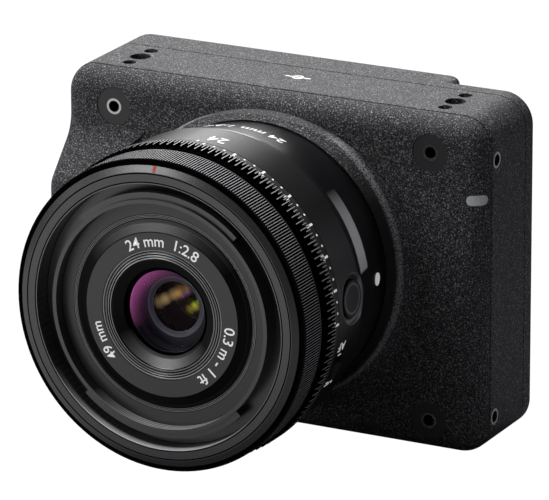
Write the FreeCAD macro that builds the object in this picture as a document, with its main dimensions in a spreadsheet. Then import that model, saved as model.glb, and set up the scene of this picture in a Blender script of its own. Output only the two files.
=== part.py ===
import FreeCAD, Part
import ast
import math
import operator
import os
import re
import Sketcher
from FreeCAD import Placement, Rotation, Vector

# A compact box-bodied mirrorless camera with a short 24 mm prime lens fitted.
# Frame: origin at the mouth of the tripod socket, +Z up, the lens looks along -Y, +X is to the
# right of someone who faces the lens. Lengths are millimetres and angles degrees.

doc = FreeCAD.newDocument("camera")
sheet = doc.addObject("Spreadsheet::Sheet", "Sizes")

SIZES = {
    # body casing
    "body_wide": 100, "body_tall": 74, "front_y": -12.1, "rear_y": 18, "strip_y": 11.7,
    "strip_wide": 19, "step_round": 3, "corner_round": 6.5, "front_round": 5, "rear_round": 1.5,
    "front_seam": 3.8, "rear_seam_y": 8, "seam_gap": 0.3, "wall": 1.8, "band_wall": 3,
    "lip": 1.2, "lip_gap": 0.1,
    # lens axis, mount and sensor
    "axis_tall": 39.25, "flange_y": -16.9, "flange_to_sensor": 18, "collar_bore": 29.9,
    "collar_shoulder": 31.8, "collar_drop": 3.8, "shoulder_drop": 1.9,
    "skirt_foot": 36.5, "ring_outer": 29.6, "throat": 23.1, "ring_thick": 3.5,
    "tab_reach": 0.55, "tab_thick": 1.3, "tab_sunk": 1,
    "tab_angle": 55, "tab_gap": 0.1, "mount_screw_ring": 26.4, "mount_screw_head": 1.6,
    "mount_screw_deep": 0.9, "mount_screw_shank": 0.85, "mount_screw_long": 5.5,
    # ridge beside the mount, its finger scoop and the release button
    "hump_y": -21.3, "hump_drop": 13.5, "hump_bottom": 18, "hump_slope": 10, "hump_blend": 6,
    "hump_wide": 20, "scoop_foot": 37, "scoop_mouth": 42, "scoop_soft": 2.2, "hump_hollow": 4,
    "hump_hollow_high": 22, "pad_y": -15, "pad_round": 6.4,
    "release_out": 6.5, "release_bore": 4.3, "release_cap": 4, "release_flange": 4.8,
    "release_flange_thick": 0.9, "release_rise": 2.9, "release_edge": 0.5,
    "pin_in": 3.4, "pin_round": 1.1, "pin_fit": 0.1, "pin_reach": 1.2, "arm_high": 3.2,
    "arm_thick": 0.8, "arm_gap": 0.3,
    # threaded fixing points
    "fix_in": 12.5, "fix_low": 7, "fix_drop": 8, "disc_round": 4.1, "disc_sunk": 0.2,
    "disc_thick": 2.3, "insert_outer": 1.75, "thread_bore": 1.25, "thread_mouth": 1.5,
    "insert_long": 4, "insert_sunk": 0.8, "pair_half": 4.85, "locate_bore": 2.25,
    "locate_deep": 4.5, "boss_deep": 5.6, "boss_wide": 9, "boss_long": 14,
    "side_insert_long": 2.6, "side_y": -5.9, "side_low": 8, "side_drop": 9.5,
    "bush_outer": 7, "bush_thread": 2.6, "bush_long": 6, "bush_deep": 5.5, "bush_margin": 0.9,
    # lamp window and rear controls
    "lamp_drop": 17.2, "lamp_high": 2.2, "lamp_wrap": 4.1, "lamp_deep": 2, "lamp_side": 2.9,
    "button_round": 3, "button_gap": 0.2, "button_flange": 3.8, "button_flange_thick": 0.8,
    "button_proud": 0.6, "button_edge": 0.3, "button_stem": 1.2, "button_travel": 0.5,
    "power_drop": 14, "menu_drop": 26, "button_in": 10, "switch_body": 4, "switch_tall": 3,
    "door_low": 22, "door_high": 52, "door_front": 9.6, "door_rear": 14.6, "door_thick": 1.3,
    "door_gap": 0.2, "door_sunk": 0.1, "hinge_round": 0.8, "hinge_pin": 0.4, "hinge_fit": 0.05,
    "hinge_seat": 1.4, "screw_in": 5.4, "screw_low": 5.6, "screw_drop": 5.6, "screw_head": 1.6,
    "screw_deep": 1.2, "screw_shank": 0.9, "screw_gap": 0.1, "screw_slot": 0.45,
    "screw_slot_long": 2, "screw_slot_deep": 0.7, "post_round": 2.8, "post_long": 6,
    # chassis, sensor and boards
    "frame_front": -9.3, "frame_thick": 2, "frame_gap": 0.3, "frame_bore": 24,
    "frame_boss": 29.5, "leg_round": 1.6, "leg_x": 27, "leg_z": 17,
    "package_wide": 44, "package_high": 32, "package_thick": 3.2, "cavity_wide": 36.6,
    "cavity_high": 24.6, "cavity_deep": 1, "glass_wide": 40, "glass_high": 29,
    "glass_thick": 1.7, "plate_wide": 60, "plate_high": 40, "plate_thick": 1.2,
    "plate_gap": 0.3, "sensor_board_wide": 48, "sensor_board_high": 36, "board_thick": 1,
    "main_gap": 0.8, "main_in": 4, "main_clear": 2, "main_low": 6, "main_drop": 6,
    "chip_thick": 1.2, "chip_wide": 14, "chip_step": 20, "chip_side": 6, "chip_low": 12,
    "spread_thick": 1, "spread_gap": 0.3, "spread_inset": 2, "card_in": 4, "card_long": 30,
    "card_high": 26, "card_thick": 3.2, "card_low": 24, "card_wide": 24.2, "card_gap": 2.3,
    "io_clear": 2, "io_in": 3.3,
    "io_low": 14, "io_drop": 17, "io_y": 0.5, "socket_in": 10, "socket_gap": 0.15,
    "socket_sunk": 0.1, "usb_tall": 20, "usb_wide": 9, "usb_high": 3.2, "usb_shell": 0.3,
    "tongue_inset": 1.1, "tongue_high": 0.7, "socket_hollow": 6.2, "video_tall": 34,
    "video_wide": 6.6, "video_high": 3, "power_jack_tall": 50, "jack_outer": 4, "jack_bore": 2.75,
    "jack_pin": 1, "contact_inner": 19.4, "contact_fit": 0.1, "contact_ring": 21.4,
    "contact_angle": 56, "contact_thick": 3.6, "contact_rise": 0.8, "contact_pin": 0.45,
    "contact_count": 10, "contact_step": 2.1,
    # lens barrel, measured forward from the flange and outward from the lens axis
    "lens_long": 45, "rim_round": 29.6, "rim_gap": 0.35, "waist_round": 32.4, "waist_long": 16,
    "barrel_round": 33.1, "barrel_start": 18.4, "barrel_end": 28, "barrel_wall": 1.4,
    "seat_round": 28.3, "seat_thick": 1.5, "seat_gap": 0.1, "ring_gap": 0.2,
    "aperture_smooth": 3, "aperture_ribs_long": 1.8, "aperture_lip": 0.6,
    "aperture_crest": 34, "aperture_root": 33.2, "aperture_ribs": 266,
    "guide_round": 31, "guide_gap": 0.3,
    "guide_wall": 1.3, "flare_start": 24, "guide_start": 26.7, "divider_thick": 0.8,
    "divider_gap": 0.3, "divider_round": 32.3, "focus_long": 7.2, "focus_round": 33.4,
    "focus_root": 33.05, "focus_lip": 0.35, "focus_guide": 30.4, "focus_ribs": 350,
    "tail_long": 4.4, "tail_round": 22.4, "tail_wall": 1.8, "lug_round": 22.95, "lug_thick": 1.5,
    # front of the lens
    "bezel_inner": 28.4, "bezel_flat": 30.85, "bezel_outer": 32.2, "bezel_slope": 0.65,
    "bezel_edge": 0.3, "bezel_deep": 5.5, "bezel_skirt": 0.35, "filter_bore": 24.1,
    "filter_outer": 24.95, "filter_sunk": 0.5, "filter_relief": 0.2, "groove_deep": 4.4,
    "groove_floor": 1.2, "hood_lug": 26.3, "hood_lug_thick": 1.4, "hood_lug_sunk": 0.6,
    "hood_lug_angle": 87, "hood_lug_top": 91, "dish_deep": 3, "dish_thick": 1.8, "step_start": 20.35,
    "step_wide": 0.3, "step_high": 0.15, "step_count": 3, "name_outer": 17.65,
    "name_inner": 14, "name_sunk": 1.8, "fine_rings": 5, "fine_wide": 0.42, "fine_high": 0.12,
    "cone_inner": 9.25, "cone_deep": 3.6, "eye_round": 8.9, "eye_deep": 4.1, "eye_thick": 0.4,
    "eye_seat": 0.35, "cell_fit": 0.05,
    # optics
    "front_glass": 9.6, "front_glass_thick": 3.3, "front_rise": 1.55, "cell_wall": 1.6,
    "cell_start": 28.5, "cell_flange_start": 38.2, "cell_flange_end": 39.3,
    "core_outer": 21.4, "core_wall": 1.2, "second_glass": 8.4, "second_start": 32.4,
    "second_thick": 3.9, "pair_glass": 7.4, "pair_start": 28.9, "pair_thick": 3.1,
    "glass_rise": 0.8, "iris_start": 23.4, "iris_long": 3.2, "iris_outer": 13.4,
    "iris_cavity": 12.6, "iris_eye": 5.2, "iris_plate": 0.4, "blade_thick": 0.1,
    "blade_step": 0.22, "blade_count": 7, "blade_pivot": 11.7, "blade_inner": 5.5,
    "blade_outer": 10.7, "blade_span": 84, "blade_ear": 0.8, "pivot_round": 0.45,
    "pivot_fit": 0.05, "drive_thick": 0.5, "drive_inner": 5.6, "drive_outer": 12.3,
    "slot_inset": 2, "slot_lead": 20, "slot_turn": 6, "blade_heel": 4, "ear_bridge": 1.28,
    "focus_glass": 8.2, "focus_glass_thick": 2, "carrier_outer": 11.6,
    "carrier_start": 17.2, "carrier_long": 3, "rod_ring": 16.4, "rod_round": 0.7,
    "rod_fit": 0.06, "rod_ear": 1.9, "arm_wide": 2.2, "rear_glass": 11, "rear_wall": 1.2,
    "rear_cell_start": 2.4, "rear_cell_long": 10, "rear_flange_thick": 1.2, "motor_long": 8.6,
    "motor_wide": 10, "motor_high": 4.2, "motor_ring": 14.8,
    # switch and button on the barrel
    "hold_angle": 3.4, "hold_depth": 21.2, "hold_recess": 5.4, "hold_floor": 1,
    "hold_round": 3.9, "hold_gap": 0.2, "hold_rise": 0.6, "hold_flange": 4.3,
    "hold_flange_thick": 0.5, "hold_drop": 0.6, "switch_angle": -20, "switch_depth": 25.6,
    "switch_wide": 8.5, "switch_long": 3.6, "switch_floor": 0.8, "knob_wide": 4.6,
    "knob_gap": 0.2, "knob_rise": 0.3, "neck_long": 1.2, "foot_long": 2.2, "foot_thick": 0.5,
    "knob_turn": 5.5, "switch_soft": 1,
}
for row, (alias, size) in enumerate(SIZES.items(), 1):
    sheet.set(f"A{row}", alias)
    sheet.set(f"B{row}", str(size))
    sheet.setAlias(f"B{row}", alias)
doc.recompute()

# Places that follow the casing or the mount, each a sum on the sizes
PLACES = {
    "strip_x": "body_wide / 2 - strip_wide", "fix_x": "body_wide / 2 - fix_in",
    "fix_high": "body_tall - fix_drop", "side_high": "body_tall - side_drop",
    "screw_x": "body_wide / 2 - screw_in", "screw_high": "body_tall - screw_drop",
    "lamp_x": "body_wide / 2 - lamp_wrap", "lamp_tall": "body_tall - lamp_drop",
    "button_x": "strip_x - button_in", "power_tall": "body_tall - power_drop",
    "menu_tall": "body_tall - menu_drop", "hump_top": "body_tall - hump_drop",
    "collar_top": "body_tall - axis_tall - collar_drop",
    "release_x": "-collar_bore - release_out", "pin_x": "pin_in - ring_outer",
    "main_left": "main_in - body_wide / 2", "main_right": "strip_x - main_clear",
    "main_high": "body_tall - main_drop", "card_left": "card_in - body_wide / 2",
    "io_left": "strip_x + io_clear", "io_right": "body_wide / 2 - io_in",
    "io_high": "body_tall - io_drop", "socket_x": "body_wide / 2 - socket_in",
}
NODES = []
OPERATIONS = {ast.Add: operator.add, ast.Sub: operator.sub, ast.Mult: operator.mul,
              ast.Div: operator.truediv}


def worked_out(part):
    """The number that one parsed term stands for: a size, a number or a sum of two terms."""
    if isinstance(part, ast.Name):
        return float(sheet.get(part.id))
    if isinstance(part, ast.Constant):
        return float(part.value)
    if isinstance(part, ast.UnaryOp):
        return -worked_out(part.operand)
    return OPERATIONS[type(part.op)](worked_out(part.left), worked_out(part.right))


def spelled(text):
    """The sum with each place in it written out in sizes."""
    return re.sub(r"[a-z]\w*", lambda word: f"({spelled(PLACES[word[0]])})"
                  if word[0] in PLACES else word[0], text)


def value(text):
    """The number that a sum on the sizes, such as 'flange_y - 2 * wall', gives now."""
    return worked_out(ast.parse(spelled(text).strip()).body[0].value)


def bound(text):
    """The same sum as a document expression on the sheet's cells."""
    return re.sub(r"[a-z]\w*", r"Sizes.\g<0>", spelled(text))


def place(thing, corner, rotation=None):
    """Binds an object's position to three sums, and fixes its rotation."""
    thing.Placement = Placement(Vector(*[value(part) for part in corner]), rotation or Rotation())
    for axis, part in zip("xyz", corner):
        thing.setExpression("Placement.Base." + axis, bound(part))
    return thing


def box(name, size, corner):
    block = doc.addObject("Part::Box", name)
    for prop, part in zip(("Length", "Width", "Height"), size):
        block.setExpression(prop, bound(part))
    return place(block, corner)


TURNS = {"x": Rotation(Vector(0, 1, 0), 90), "-x": Rotation(Vector(0, 1, 0), -90),
         "y": Rotation(Vector(1, 0, 0), -90), "-y": Rotation(Vector(1, 0, 0), 90),
         "z": Rotation(), "-z": Rotation(Vector(1, 0, 0), 180)}


def rod(name, radius, length, foot, along):
    """A cylinder that starts at foot and runs along the named direction."""
    cylinder = doc.addObject("Part::Cylinder", name)
    cylinder.setExpression("Radius", bound(radius))
    cylinder.setExpression("Height", bound(length))
    return place(cylinder, foot, TURNS[along])


def group(name, parts, kind="Part::Compound"):
    thing = doc.addObject(kind, name)
    if kind == "Part::Compound":
        thing.Links = parts
    else:
        thing.Shapes = parts
    return thing


def fuse(name, parts):
    return group(name, parts, "Part::MultiFuse")


def common(name, parts):
    return group(name, parts, "Part::MultiCommon")


def cut(name, base, tools):
    """Takes one or more tools away from a base."""
    result = doc.addObject("Part::Cut", name)
    result.Base = base
    result.Tool = tools[0] if len(tools) == 1 else fuse(name + "_tools", tools)
    return result


def rounded(name, base, radius, wanted):
    """Rounds the edges of base whose middle point and direction wanted() accepts."""
    doc.recompute()
    chosen = []
    for number, edge in enumerate(base.Shape.Edges, 1):
        middle = edge.valueAt((edge.FirstParameter + edge.LastParameter) / 2)
        way = edge.tangentAt((edge.FirstParameter + edge.LastParameter) / 2)
        if wanted(middle, way, edge):
            chosen.append((number, value(radius), value(radius)))
    result = doc.addObject("Part::Fillet", name)
    result.Base = base
    result.Edges = chosen
    return result


def turned(name, profile, start="flange_y"):
    """A ring turned about the lens axis: profile holds radius and depth ahead of start."""
    body = doc.addObject("PartDesign::Body", name)
    plane = [item for item in body.Origin.OriginFeatures if item.Role == "XY_Plane"][0]
    sketch = body.newObject("Sketcher::SketchObject", name + "_profile")
    sketch.AttachmentSupport = [(plane, "")]
    sketch.MapMode = "FlatFace"
    spots = [Vector(value(radius), value(depth), 0) for radius, depth in profile]
    count = len(spots)
    for index in range(count):
        sketch.addGeometry(Part.LineSegment(spots[index], spots[(index + 1) % count]), False)
    for index in range(count):
        sketch.addConstraint(Sketcher.Constraint("Coincident", index, 2, (index + 1) % count, 1))
    for index, (radius, depth) in enumerate(profile):
        for kind, part, now in (("DistanceX", radius, spots[index].x),
                                ("DistanceY", depth, spots[index].y)):
            if now == 0:
                axis = -2 if kind == "DistanceX" else -1
                sketch.addConstraint(Sketcher.Constraint("PointOnObject", index, 1, axis))
            else:
                rule = sketch.addConstraint(Sketcher.Constraint(kind, -1, 1, index, 1, now))
                sketch.setExpression(f"Constraints[{rule}]", bound(part))
    turn = body.newObject("PartDesign::Revolution", name + "_turn")
    turn.Profile = sketch
    turn.ReferenceAxis = (sketch, ["V_Axis"])
    turn.Angle = 360
    return place(body, ("0", start, "axis_tall"), Rotation(Vector(1, 0, 0), 180))


def depth(text):
    """The Y of a place that lies the given distance ahead of the flange."""
    return f"flange_y - ({text})"


def tube(name, outer, inner, start, length):
    """A plain ring on the lens axis that runs forward from the depth start."""
    return turned(name, [(inner, "0"), (outer, "0"), (outer, length), (inner, length)],
                  depth(start))


def made(name, shape):
    """A piece whose shape is worked out here from the sheet's sizes."""
    feature = doc.addObject("Part::Feature", name)
    feature.Shape = shape
    return feature


def about_axis(shape, angle):
    """A copy of shape turned about the lens axis, counter-clockwise seen from the front."""
    copy = shape.copy()
    copy.rotate(Vector(0, 0, value("axis_tall")), Vector(0, -1, 0), angle)
    return copy


def node(label, thing):
    """Marks an object as one of the camera's pieces and names its file."""
    thing.Label = label
    NODES.append(thing)
    return thing


# Casing: one outer form, cut into front cover, middle band and rear cover
block = box("outer_block", ("body_wide", "rear_y - front_y", "body_tall"),
            ("-body_wide / 2", "front_y", "0"))
corners = rounded("outer_corners", block, "corner_round",
                  lambda middle, way, edge: abs(way.y) > 0.9)
behind_strip = box("behind_strip", ("body_wide / 2", "rear_y", "body_tall + 2"),
                   ("strip_x", "strip_y", "-1"))
stepped = cut("stepped_block", corners, [behind_strip])
step_edge = rounded("step_edge", stepped, "step_round", lambda middle, way, edge:
                    abs(way.z) > 0.9 and abs(middle.x - value("strip_x")) < 0.01
                    and middle.y > value("rear_y") - 0.01)
rear_soft = rounded("rear_soft", step_edge, "rear_round", lambda middle, way, edge:
                    middle.y > value("rear_y") - 0.01)


def hump_form():
    """The raised ridge on the left, drawn in the YZ plane and run across the body."""
    low, high = value("hump_bottom"), value("hump_top")
    near, far, run = value("front_y"), value("hump_y"), value("hump_slope")
    back = near + value("front_seam")
    outline = [(back, low), (near, low), (far, low + run), (far, high - run), (near, high),
               (back, high)]
    left = -value("body_wide") / 2
    wire = Part.makePolygon([Vector(left, y, z) for y, z in outline + outline[:1]])
    return Part.Face(wire).extrude(Vector(value("hump_wide"), 0, 0))


def spun(edges):
    """The solid that a closed outline in the XY plane makes when turned about the lens axis."""
    solid = Part.Face(Part.Wire(edges)).revolve(Vector(0, 0, 0), Vector(0, 1, 0), 360)
    solid.translate(Vector(0, 0, value("axis_tall")))
    return solid


def scoop_form():
    """The finger scoop: a cone about the lens axis, softened where it meets the ridge top."""
    foot, mouth = value("scoop_foot"), value("scoop_mouth")
    near, far, soft = value("front_y"), value("hump_y"), value("scoop_soft")
    lean = math.atan2(mouth - foot, near - far)
    reach = soft * math.tan((math.pi / 2 - lean) / 2)
    start = Vector(mouth - reach * math.sin(lean), far + reach * math.cos(lean), 0)
    end = Vector(mouth + reach, far, 0)
    turn = math.pi / 2 + (math.pi / 2 - lean) / 2
    middle = Vector(end.x + soft * math.cos(turn), far + soft - soft * math.sin(turn), 0)
    top = 2 * far - near
    corner = [Vector(0, near, 0), Vector(foot, near, 0), Vector(end.x, top, 0), Vector(0, top, 0)]
    return spun([Part.LineSegment(corner[0], corner[1]).toShape(),
                 Part.LineSegment(corner[1], start).toShape(),
                 Part.Arc(start, middle, end).toShape(),
                 Part.LineSegment(end, corner[2]).toShape(),
                 Part.LineSegment(corner[2], corner[3]).toShape(),
                 Part.LineSegment(corner[3], corner[0]).toShape()])


def front_outline(middle, way, edge):
    """True for the edges round the front, and false for the ridge's own edges across it."""
    at_side = abs(middle.x) > value("body_wide / 2 - corner_round")
    at_end = not 1 < middle.z < value("body_tall") - 1
    on_ridge = abs(way.x) > 0.99 and not at_end
    in_front = middle.y < value("front_y") + 0.01 and abs(way.y) < 0.95
    return in_front and (at_side or at_end) and not on_ridge


outer = fuse("outer_with_hump", [rear_soft, made("hump_form", hump_form())])
hump_soft = rounded("hump_soft", outer, "hump_blend", lambda middle, way, edge:
                    abs(way.x) > 0.99 and middle.y < value("front_y") + 0.01
                    and value("hump_bottom") - 1 < middle.z < value("hump_top") + 1)
front_soft = rounded("front_soft", hump_soft, "front_round", front_outline)
casing = cut("casing", front_soft, [made("scoop_form", scoop_form())])


def slice_of_casing(name, from_y, length):
    """What the casing's outer form holds between two planes across the body."""
    slab = box(name + "_zone", ("body_wide + 2", length, "body_tall + 2"),
               ("-body_wide / 2 - 1", from_y, "-1"))
    return common(name, [casing, slab])


def well(name, wall, from_y, length, right="body_wide / 2"):
    """A hollow that leaves the given wall inside the casing, with rounded corners."""
    raw = box(name + "_raw",
              ("body_wide / 2 + " + right + " - " + wall + " * 2", length,
               "body_tall - " + wall + " * 2"),
              ("-body_wide / 2 + " + wall, from_y, wall))
    return rounded(name, raw, "corner_round - " + wall,
                   lambda middle, way, edge: abs(way.y) > 0.9)


SIDES = (("left", "-"), ("right", ""))
FRONT_FIXINGS = [(side + level, sign + "fix_x", "fix_" + level)
                 for side, sign in SIDES for level in ("low", "high")]


# Front cover: a moulded shell with the mount collar, the ridge and the button pad
def collar_trim():
    """The space inside an oval that draws the skirt in where the top edge is round."""
    foot, top, spare = value("skirt_foot"), value("collar_top"), value("wall / 2")
    near, far = value("front_y + wall"), value("flange_y - 1")
    high = (top + foot + spare) / 2
    middle = Vector(0, far, (top - foot - spare) / 2)
    ends = sorted([Vector(foot, 0, 0), Vector(0, 0, high)], key=lambda end: -end.Length)
    oval = Part.Ellipse(middle + ends[0], middle + ends[1], middle)
    trim = Part.Face(Part.Wire([oval.toShape()])).extrude(Vector(0, near - far, 0))
    trim.translate(Vector(0, 0, value("axis_tall")))
    return trim


def collar_form():
    """The raised collar round the mount, with its concave skirt down to the front face."""
    bore, shoulder, foot = value("collar_bore"), value("collar_shoulder"), value("skirt_foot")
    top, face = value("flange_y"), value("front_y")
    edge = top + value("shoulder_drop")
    reach, fall = foot - shoulder, face - edge
    bend = (reach ** 2 + fall ** 2) / (2 * fall)
    half = math.asin(reach / bend) / 2
    middle = Vector(foot - bend * math.sin(half), face - bend * (1 - math.cos(half)), 0)
    root = face + value("wall") / 2
    spots = [Vector(bore, top, 0), Vector(shoulder, edge, 0), Vector(foot, face, 0),
             Vector(foot, root, 0), Vector(bore, root, 0)]
    ring = spun([Part.LineSegment(spots[0], spots[1]).toShape(),
                 Part.Arc(spots[1], middle, spots[2]).toShape(),
                 Part.LineSegment(spots[2], spots[3]).toShape(),
                 Part.LineSegment(spots[3], spots[4]).toShape(),
                 Part.LineSegment(spots[4], spots[0]).toShape()])
    return ring.common(collar_trim())


front_slice = slice_of_casing("front_slice", "hump_y - 1", "front_y + front_seam - hump_y + 1")
front_solid = fuse("front_solid", [
    front_slice, made("collar_form", collar_form()),
    rod("button_pad", "pad_round", "front_y - pad_y + 1", ("release_x", "pad_y", "axis_tall"), "y")])
front_cuts = [
    well("front_well", "wall", "front_y + wall", "front_seam"),
    rod("mount_bore", "collar_bore", "front_seam + 20", ("0", "flange_y - 1", "axis_tall"), "y"),
    rod("release_bore_cut", "release_bore", "front_seam + 20",
        ("release_x", "hump_y - 1", "axis_tall"), "y"),
    rod("release_counterbore", "release_flange + button_gap", "front_seam + 1",
        ("release_x", "front_y", "axis_tall"), "y"),
    box("arm_slot", ("-release_x - collar_bore + 2", "front_seam", "arm_high + arm_gap * 2"),
        ("release_x", "front_y + wall / 2", "axis_tall - arm_high / 2 - arm_gap")),
    box("hump_pocket",
        ("hump_hollow", "front_y + front_seam - hump_y - wall - 1", "hump_hollow_high"),
        ("-body_wide / 2 + wall + 1", "hump_y + wall + 1", "axis_tall - hump_hollow_high / 2"))]
for place_name, at_x, at_z in FRONT_FIXINGS:
    front_cuts.append(rod("disc_bore_" + place_name, "disc_round", "wall * 2",
                          (at_x, "front_y - 1", at_z), "y"))
lamp_base = "lamp_tall - lamp_high / 2"
lamp_front = rounded(
    "lamp_front", box("lamp_box", ("body_wide / 2 - lamp_x + 1", "lamp_deep + 1", "lamp_high"),
                      ("lamp_x", "front_y - 1", lamp_base)),
    "lamp_high / 2.1", lambda middle, way, edge:
    abs(way.y) > 0.9 and middle.x < value("lamp_x") + 0.01)
lamp_side = rounded(
    "lamp_side_end", box("lamp_side_box", ("wall + 1", "lamp_side + 1", "lamp_high"),
                         ("body_wide / 2 - wall", "front_y - 1", lamp_base)),
    "lamp_high / 2.1", lambda middle, way, edge:
    abs(way.x) > 0.9 and middle.y > value("front_y + lamp_side") - 0.01)
lamp_slot = fuse("lamp_slot", [lamp_front, lamp_side])
node("front_cover", cut("front_cover", front_solid, front_cuts + [lamp_slot]))
node("lamp_window", common("lamp_piece", [front_slice, lamp_slot]))


# Middle band: the frame of the casing, with its lips, bosses and screw posts
band_y = "front_y + front_seam + seam_gap"
band_long = "rear_seam_y - front_y - front_seam - seam_gap"
lip_block = box("lip_block", ("body_wide - wall * 2 - lip_gap * 2",
                              "rear_seam_y + lip - front_y - front_seam + lip",
                              "body_tall - wall * 2 - lip_gap * 2"),
                ("-body_wide / 2 + wall + lip_gap", "front_y + front_seam - lip",
                 "wall + lip_gap"))
lips = rounded("lips", lip_block, "corner_round - wall - lip_gap",
               lambda middle, way, edge: abs(way.y) > 0.9)
band_shell = cut("band_shell",
                 fuse("band_solid", [slice_of_casing("band_slice", band_y, band_long), lips]),
                 [well("band_well", "band_wall", "front_y", "rear_y - front_y")])
band_parts = [band_shell, box(
    "bush_boss", ("bush_outer * 2 + 4", "bush_outer * 2 + bush_margin * 2", "bush_long - 1"),
    ("-bush_outer - 2", "-bush_outer - bush_margin", "1"))]
band_cuts = [rod("bush_bore", "bush_outer", "bush_long + 1", ("0", "0", "-1"), "z")]
for side, sign in SIDES:
    for level, boss_z in (("low", "1"), ("high", "body_tall - boss_deep")):
        name = side + "_" + level
        band_parts.append(box("boss_" + name, ("boss_wide", "boss_long", "boss_deep - 1"),
                              (sign + "fix_x - boss_wide / 2", "-boss_long / 2", boss_z)))
        band_parts.append(rod("post_" + name, "post_round", "post_long + lip",
                              (sign + "screw_x", "rear_seam_y - post_long", "screw_" + level), "y"))
        band_cuts.append(rod("post_bore_" + name, "screw_shank", "post_long + lip",
                             (sign + "screw_x", "rear_seam_y - post_long + 1",
                              "screw_" + level), "y"))
        along, face = ("-z", "body_tall") if level == "high" else ("z", "0")
        inward = "- " if level == "high" else "+ "
        band_cuts.append(rod("locate_" + name, "locate_bore", "locate_deep",
                             (sign + "fix_x", "0", face), along))
        for end, shift in (("front", "-pair_half"), ("rear", "pair_half")):
            mouth = (sign + "fix_x", shift, face)
            seat = (sign + "fix_x", shift, face + " " + inward + "insert_sunk")
            band_cuts.append(rod(f"mouth_{name}_{end}", "thread_mouth", "insert_sunk + 1", mouth,
                                 along))
            band_cuts.append(rod(f"seat_{name}_{end}", "insert_outer", "insert_long", seat, along))
        side_face = (sign + "body_wide / 2", "side_y", "side_" + level)
        band_cuts.append(rod("side_seat_" + name, "insert_outer", "side_insert_long", side_face,
                             "x" if side == "left" else "-x"))
node("mid_band", cut("mid_band", fuse("band_with_bosses", band_parts), band_cuts))

# Threaded inserts, the discs round the front ones, and the tripod bush
inserts = []


def insert(name, length, foot, along):
    """One bright threaded insert: a plain sleeve with the thread's smallest bore."""
    sleeve = rod(name + "_sleeve", "insert_outer", length, foot, along)
    bore = rod(name + "_bore", "thread_bore", length, foot, along)
    inserts.append(cut(name, sleeve, [bore]))


discs = []
for place_name, at_x, at_z in FRONT_FIXINGS:
    face = (at_x, "front_y + disc_sunk", at_z)
    insert("insert_front_" + place_name, "insert_long", face, "y")
    discs.append(cut("disc_" + place_name, rod("disc_plate_" + place_name, "disc_round",
                                               "disc_thick", face, "y"),
                     [rod("disc_hole_" + place_name, "insert_outer", "disc_thick", face, "y")]))
for side, sign in SIDES:
    for end, shift in (("front", "-pair_half"), ("rear", "pair_half")):
        insert(f"insert_top_{side}_{end}", "insert_long",
               (sign + "fix_x", shift, "body_tall - insert_sunk"), "-z")
        insert(f"insert_base_{side}_{end}", "insert_long",
               (sign + "fix_x", shift, "insert_sunk"), "z")
    for level in ("low", "high"):
        insert(f"insert_side_{side}_{level}", "side_insert_long",
               (sign + "body_wide / 2", "side_y", "side_" + level),
               "x" if side == "left" else "-x")
node("fixing_discs", group("fixing_discs", discs))
node("thread_inserts", group("thread_inserts", inserts))
node("tripod_bush", cut("tripod_bush", rod("bush_body", "bush_outer", "bush_long",
                                           ("0", "0", "0"), "z"),
                        [rod("bush_hole", "bush_thread", "bush_deep", ("0", "0", "0"), "z")]))

# Rear cover: the stepped shell with the button holes, sockets and card door opening
rear_y = "rear_seam_y + seam_gap"
rear_shell = cut("rear_shell", slice_of_casing("rear_slice", rear_y, "rear_y - rear_seam_y"),
                 [well("rear_well", "wall", rear_y, "rear_y - rear_seam_y - seam_gap - wall",
                       "strip_x"),
                  well("strip_well", "wall", rear_y, "strip_y - rear_seam_y - seam_gap - wall")])
SCREWS = [(side + "_" + level, sign + "screw_x", "screw_" + level, plane)
          for (side, sign), plane in zip(SIDES, ("rear_y", "strip_y")) for level in ("low", "high")]
rear_parts = [rear_shell]
rear_cuts = [
    box("door_opening", ("wall + 1", "door_rear - door_front + door_gap * 2",
                         "door_high - door_low + door_gap * 2"),
        ("-body_wide / 2 - 1", "door_front - door_gap", "door_low - door_gap")),
    rod("door_pin_seat", "hinge_pin", "door_high - door_low + hinge_seat * 2",
        ("-body_wide / 2 + door_sunk + hinge_round", "door_rear - hinge_round",
         "door_low - hinge_seat"), "z")]
for place_name, at_x, at_z, plane in SCREWS:
    rear_parts.append(rod("rear_post_" + place_name, "post_round",
                          plane + " - wall / 2 - rear_seam_y - lip - seam_gap",
                          (at_x, "rear_seam_y + lip + seam_gap", at_z), "y"))
    rear_cuts.append(rod("head_bore_" + place_name, "screw_head + screw_gap", "screw_deep",
                         (at_x, plane, at_z), "-y"))
    rear_cuts.append(rod("shank_bore_" + place_name, "screw_shank + screw_gap", "rear_y",
                         (at_x, plane, at_z), "-y"))
for label, tall in (("power", "power_tall"), ("menu", "menu_tall")):
    rear_cuts.append(rod("button_bore_" + label, "button_round + button_gap", "wall * 3",
                         ("button_x", "rear_y + 1", tall), "-y"))
SOCKETS = (("usb", "usb_tall", "usb_wide", "usb_high"),
           ("video", "video_tall", "video_wide", "video_high"))
for label, tall, wide, high in SOCKETS:
    rear_cuts.append(box("hole_" + label, (wide + " + socket_gap * 2", "wall * 2",
                                           high + " + socket_gap * 2"),
                         ("socket_x - " + wide + " / 2 - socket_gap", "strip_y - wall - 1",
                          tall + " - " + high + " / 2 - socket_gap")))
rear_cuts.append(rod("hole_jack", "jack_outer + socket_gap", "wall * 2",
                     ("socket_x", "strip_y + 1", "power_jack_tall"), "-y"))
node("rear_cover", cut("rear_cover", fuse("rear_with_posts", rear_parts), rear_cuts))

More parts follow.
